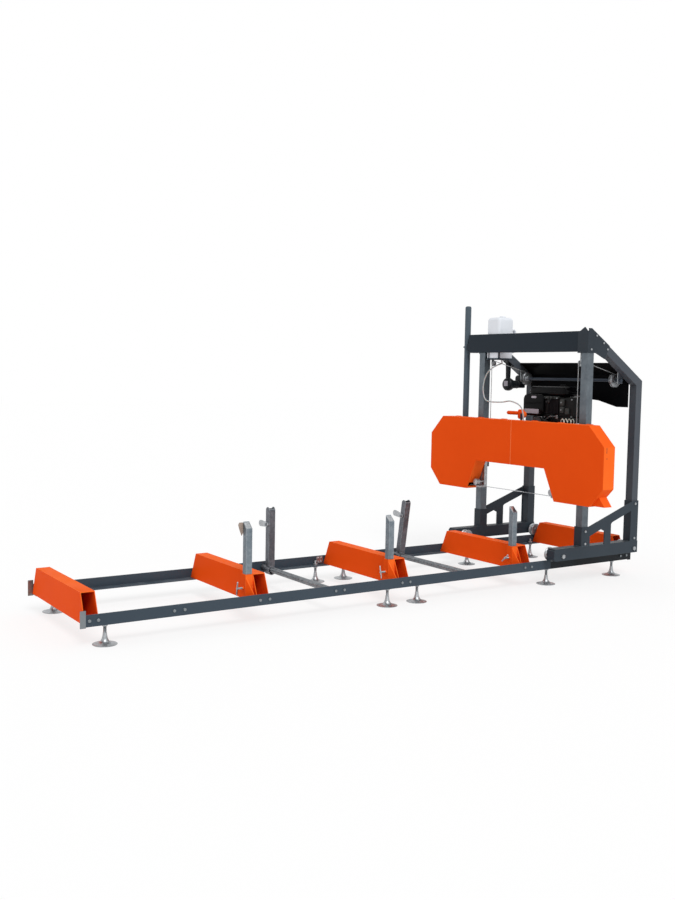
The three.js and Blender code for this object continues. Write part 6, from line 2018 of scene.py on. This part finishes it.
    def build_controls(self) -> None:
        """Builds the governor's arm, spring and rod, the coil of control cable and the fuel pipe."""
        metal = PieceMesh()
        metal.swept([(1584, -28, 1124), (1582, -62, 1140), (1580, -104, 1158)], 4.2, 10)
        rod = [(1590, 40, 1140), (1582, 20, 1150), (1582, -2, 1146), (1586, -28, 1128)]
        metal.swept(catmull(rod, 6), 2.0, 10)
        spring = []
        for i in range(97):
            angle = 2 * math.pi * i / 8
            spring.append((1584 + 5 * math.cos(angle), -104 - i * 0.62, 1158 + 5 * math.sin(angle)))
        metal.swept(spring, 1.1, 6)
        metal.block((1580, -172, 1140), (1584, -156, 1170), 1)
        metal.turned([(0, 1576), (9, 1576), (11, 1578), (11, 1592), (0, 1592)], Axis.X, (0, -4, 1144), 24)
        for y, z in ((-164, 1162), (-164, 1148), (-104, 1158)):
            metal.hexagon(Axis.X, (0, y, z), 5, 1575, 1581)
        metal.build("engine_linkage", Stock.ENGINE_METAL, "head", "zinc")
        coil = PieceMesh()
        (x, y, z), (ahead, aside) = self.coil_place, self.coil_along
        wire = []
        for i in range(50):
            turn = 2 * math.pi * i / 14
            along, out, rise = i * 1.75, 15 * math.cos(turn), 16 * math.sin(turn)
            wire.append((x + ahead * along - aside * out, y + aside * along + ahead * out, z + rise))
        coil.swept(wire, 2.6, 8)
        coil.swept([wire[0], (1478, -308, 1106), (1520, -286, 1092), (1560, -262, 1088)], 2.6, 8)
        coil.swept([wire[-1], (1536, -370, 1108), (1552, -340, 1094), (1570, -300, 1086)], 2.6, 8)
        coil.build("control_cable_coil", Stock.CREAM_CABLE, "head", "hose_clear")
        pipe = PieceMesh()
        route = [(1606, -60, 1304), (1592, -64, 1284), (1588, -60, 1230), (1592, -50, 1176)]
        pipe.swept(catmull(route, 6), 3.2, 12)
        pipe.build("fuel_pipe", Stock.BLACK_GRIP, "head", "belt_rubber")


@dataclass
class Studio:
    """The floor, lamp, white surroundings and camera.

    Attributes:
        camera_place: The camera's place, in millimetres.
        heading: The camera's turn about the upright, in degrees.
        dip: How far it looks down, in degrees.
        roll: How far it leans, in degrees.
        focal_pixels: Its focal length in pixels of the photograph.
        long_side: The photograph's long side, in pixels.
        sensor: The camera's sensor width, in millimetres.
        clip: The nearest and farthest that the camera sees, in metres.
        ambient: How strongly the white surroundings light the machine.
        key_strength: The key lamp's strength.
        key_spread: How wide the key lamp looks from the machine, in degrees.
        key_aim: The way that the key lamp shines.
        floor_reach: How far the floor runs each way.
        floor_drop: How far it lies below the feet.
        floor_glow: How much of the floor's own white the camera sees.
    """

    camera_place: Point = (-3844.204, -5449.002, 1431.307)
    heading: float = -33.56
    dip: float = 4.22
    roll: float = 1.008
    focal_pixels: float = 1012.321
    long_side: float = 900.0
    sensor: float = 36.0
    clip: Pair = (0.05, 200.0)
    ambient: float = 0.72
    key_strength: float = 1.5
    key_spread: float = 24.0
    key_aim: Point = (0.22, 0.78, -0.86)
    floor_reach: float = 42000.0
    floor_drop: float = 0.4
    floor_glow: float = 0.72

    def build(self) -> None:
        """Builds the studio."""
        scene = bpy.context.scene
        scene.view_settings.view_transform = "Standard"
        self.build_camera(scene)
        self.build_world(scene)
        self.build_key()
        self.build_floor()

    def build_camera(self, scene: bpy.types.Scene) -> None:
        """Builds the camera at the photograph's view.

        Args:
            scene: The scene that it is set in.
        """
        turn, dip, roll = (math.radians(v) for v in (self.heading, self.dip, self.roll))
        ahead = Vector((-math.sin(turn) * math.cos(dip), math.cos(turn) * math.cos(dip), -math.sin(dip)))
        level = Vector((math.cos(turn), math.sin(turn), 0.0))
        above = level.cross(ahead)
        right = level * math.cos(roll) + above * math.sin(roll)
        up = above * math.cos(roll) - level * math.sin(roll)
        data = bpy.data.cameras.new("photo_camera")
        data.sensor_fit = "AUTO"
        data.sensor_width = self.sensor
        data.lens = self.focal_pixels / self.long_side * self.sensor
        data.clip_start, data.clip_end = self.clip
        camera = bpy.data.objects.new("photo_camera", data)
        scene.collection.objects.link(camera)
        place = Vector(self.camera_place) * MM
        camera.matrix_world = Matrix(
            (
                (right.x, up.x, -ahead.x, place.x), (right.y, up.y, -ahead.y, place.y),
                (right.z, up.z, -ahead.z, place.z), (0.0, 0.0, 0.0, 1.0),
            )
        )
        scene.camera = camera
        log.info("camera lens %.2f mm", data.lens)

    def build_world(self, scene: bpy.types.Scene) -> None:
        """Builds the white surroundings.

        Args:
            scene: The scene that they belong to.
        """
        world = bpy.data.worlds.new("white_room")
        world.use_nodes = True
        tree = world.node_tree
        background = tree.nodes["Background"]
        background.inputs["Color"].default_value = (1.0, 1.0, 1.0, 1.0)
        path = add_node(tree, "ShaderNodeLightPath", {})
        seen = path.outputs["Is Camera Ray"]
        for name in ("Is Glossy Ray", "Is Transmission Ray"):
            rays = {0: seen, 1: path.outputs[name]}
            seen = add_node(tree, "ShaderNodeMath", rays, operation="MAXIMUM").outputs[0]
        levels = {"Value": seen, "To Min": self.ambient, "To Max": 1.0}
        strength = add_node(tree, "ShaderNodeMapRange", levels)
        feed(tree, background.inputs["Strength"], strength.outputs["Result"])
        scene.world = world

    def build_key(self) -> None:
        """Builds the soft key lamp, which comes from the near side and above."""
        data = bpy.data.lights.new("key_lamp", "SUN")
        data.energy = self.key_strength
        data.angle = math.radians(self.key_spread)
        lamp = bpy.data.objects.new("key_lamp", data)
        bpy.context.scene.collection.objects.link(lamp)
        lamp.rotation_mode = "QUATERNION"
        lamp.rotation_quaternion = Vector(self.key_aim).to_track_quat("-Z", "Y")

    def build_floor(self) -> None:
        """Builds the pale floor, which keeps the machine's shadow."""
        reach = self.floor_reach
        corners = ((-reach, -reach), (reach, -reach), (reach, reach), (-reach, reach))
        data = bpy.data.meshes.new("studio_floor")
        data.from_pydata([Vector((x, y, -self.floor_drop)) * MM for x, y in corners], [], [[0, 1, 2, 3]])
        floor = bpy.data.objects.new("studio_floor", data)
        bpy.context.scene.collection.objects.link(floor)
        material = bpy.data.materials.new("studio_floor")
        material.use_nodes = True
        tree = material.node_tree
        surface = tree.nodes["Principled BSDF"]
        surface.inputs["Base Color"].default_value = (0.93, 0.93, 0.93, 1.0)
        surface.inputs["Roughness"].default_value = 0.9
        surface.inputs["Specular IOR Level"].default_value = 0.1
        glow = add_node(tree, "ShaderNodeEmission", {"Color": (1.0, 1.0, 1.0, 1.0)})
        seen = add_node(tree, "ShaderNodeLightPath", {}).outputs["Is Camera Ray"]
        share = add_node(tree, "ShaderNodeMath", {0: seen, 1: self.floor_glow}, operation="MULTIPLY")
        parts = {0: share.outputs[0], 1: surface.outputs[0], 2: glow.outputs[0]}
        mixed = add_node(tree, "ShaderNodeMixShader", parts)
        feed(tree, tree.nodes["Material Output"].inputs["Surface"], mixed.outputs[0])
        data.materials.append(material)


def main() -> None:
    """Builds the machine and the studio in order."""
    logging.basicConfig(level=logging.INFO, format="%(name)s: %(message)s")
    Studio().build()
    Track().build()
    LogHolders().build()
    Carriage().build()
    SawHead().build()
    Engine().build()


if __name__ == "__main__":
    main()
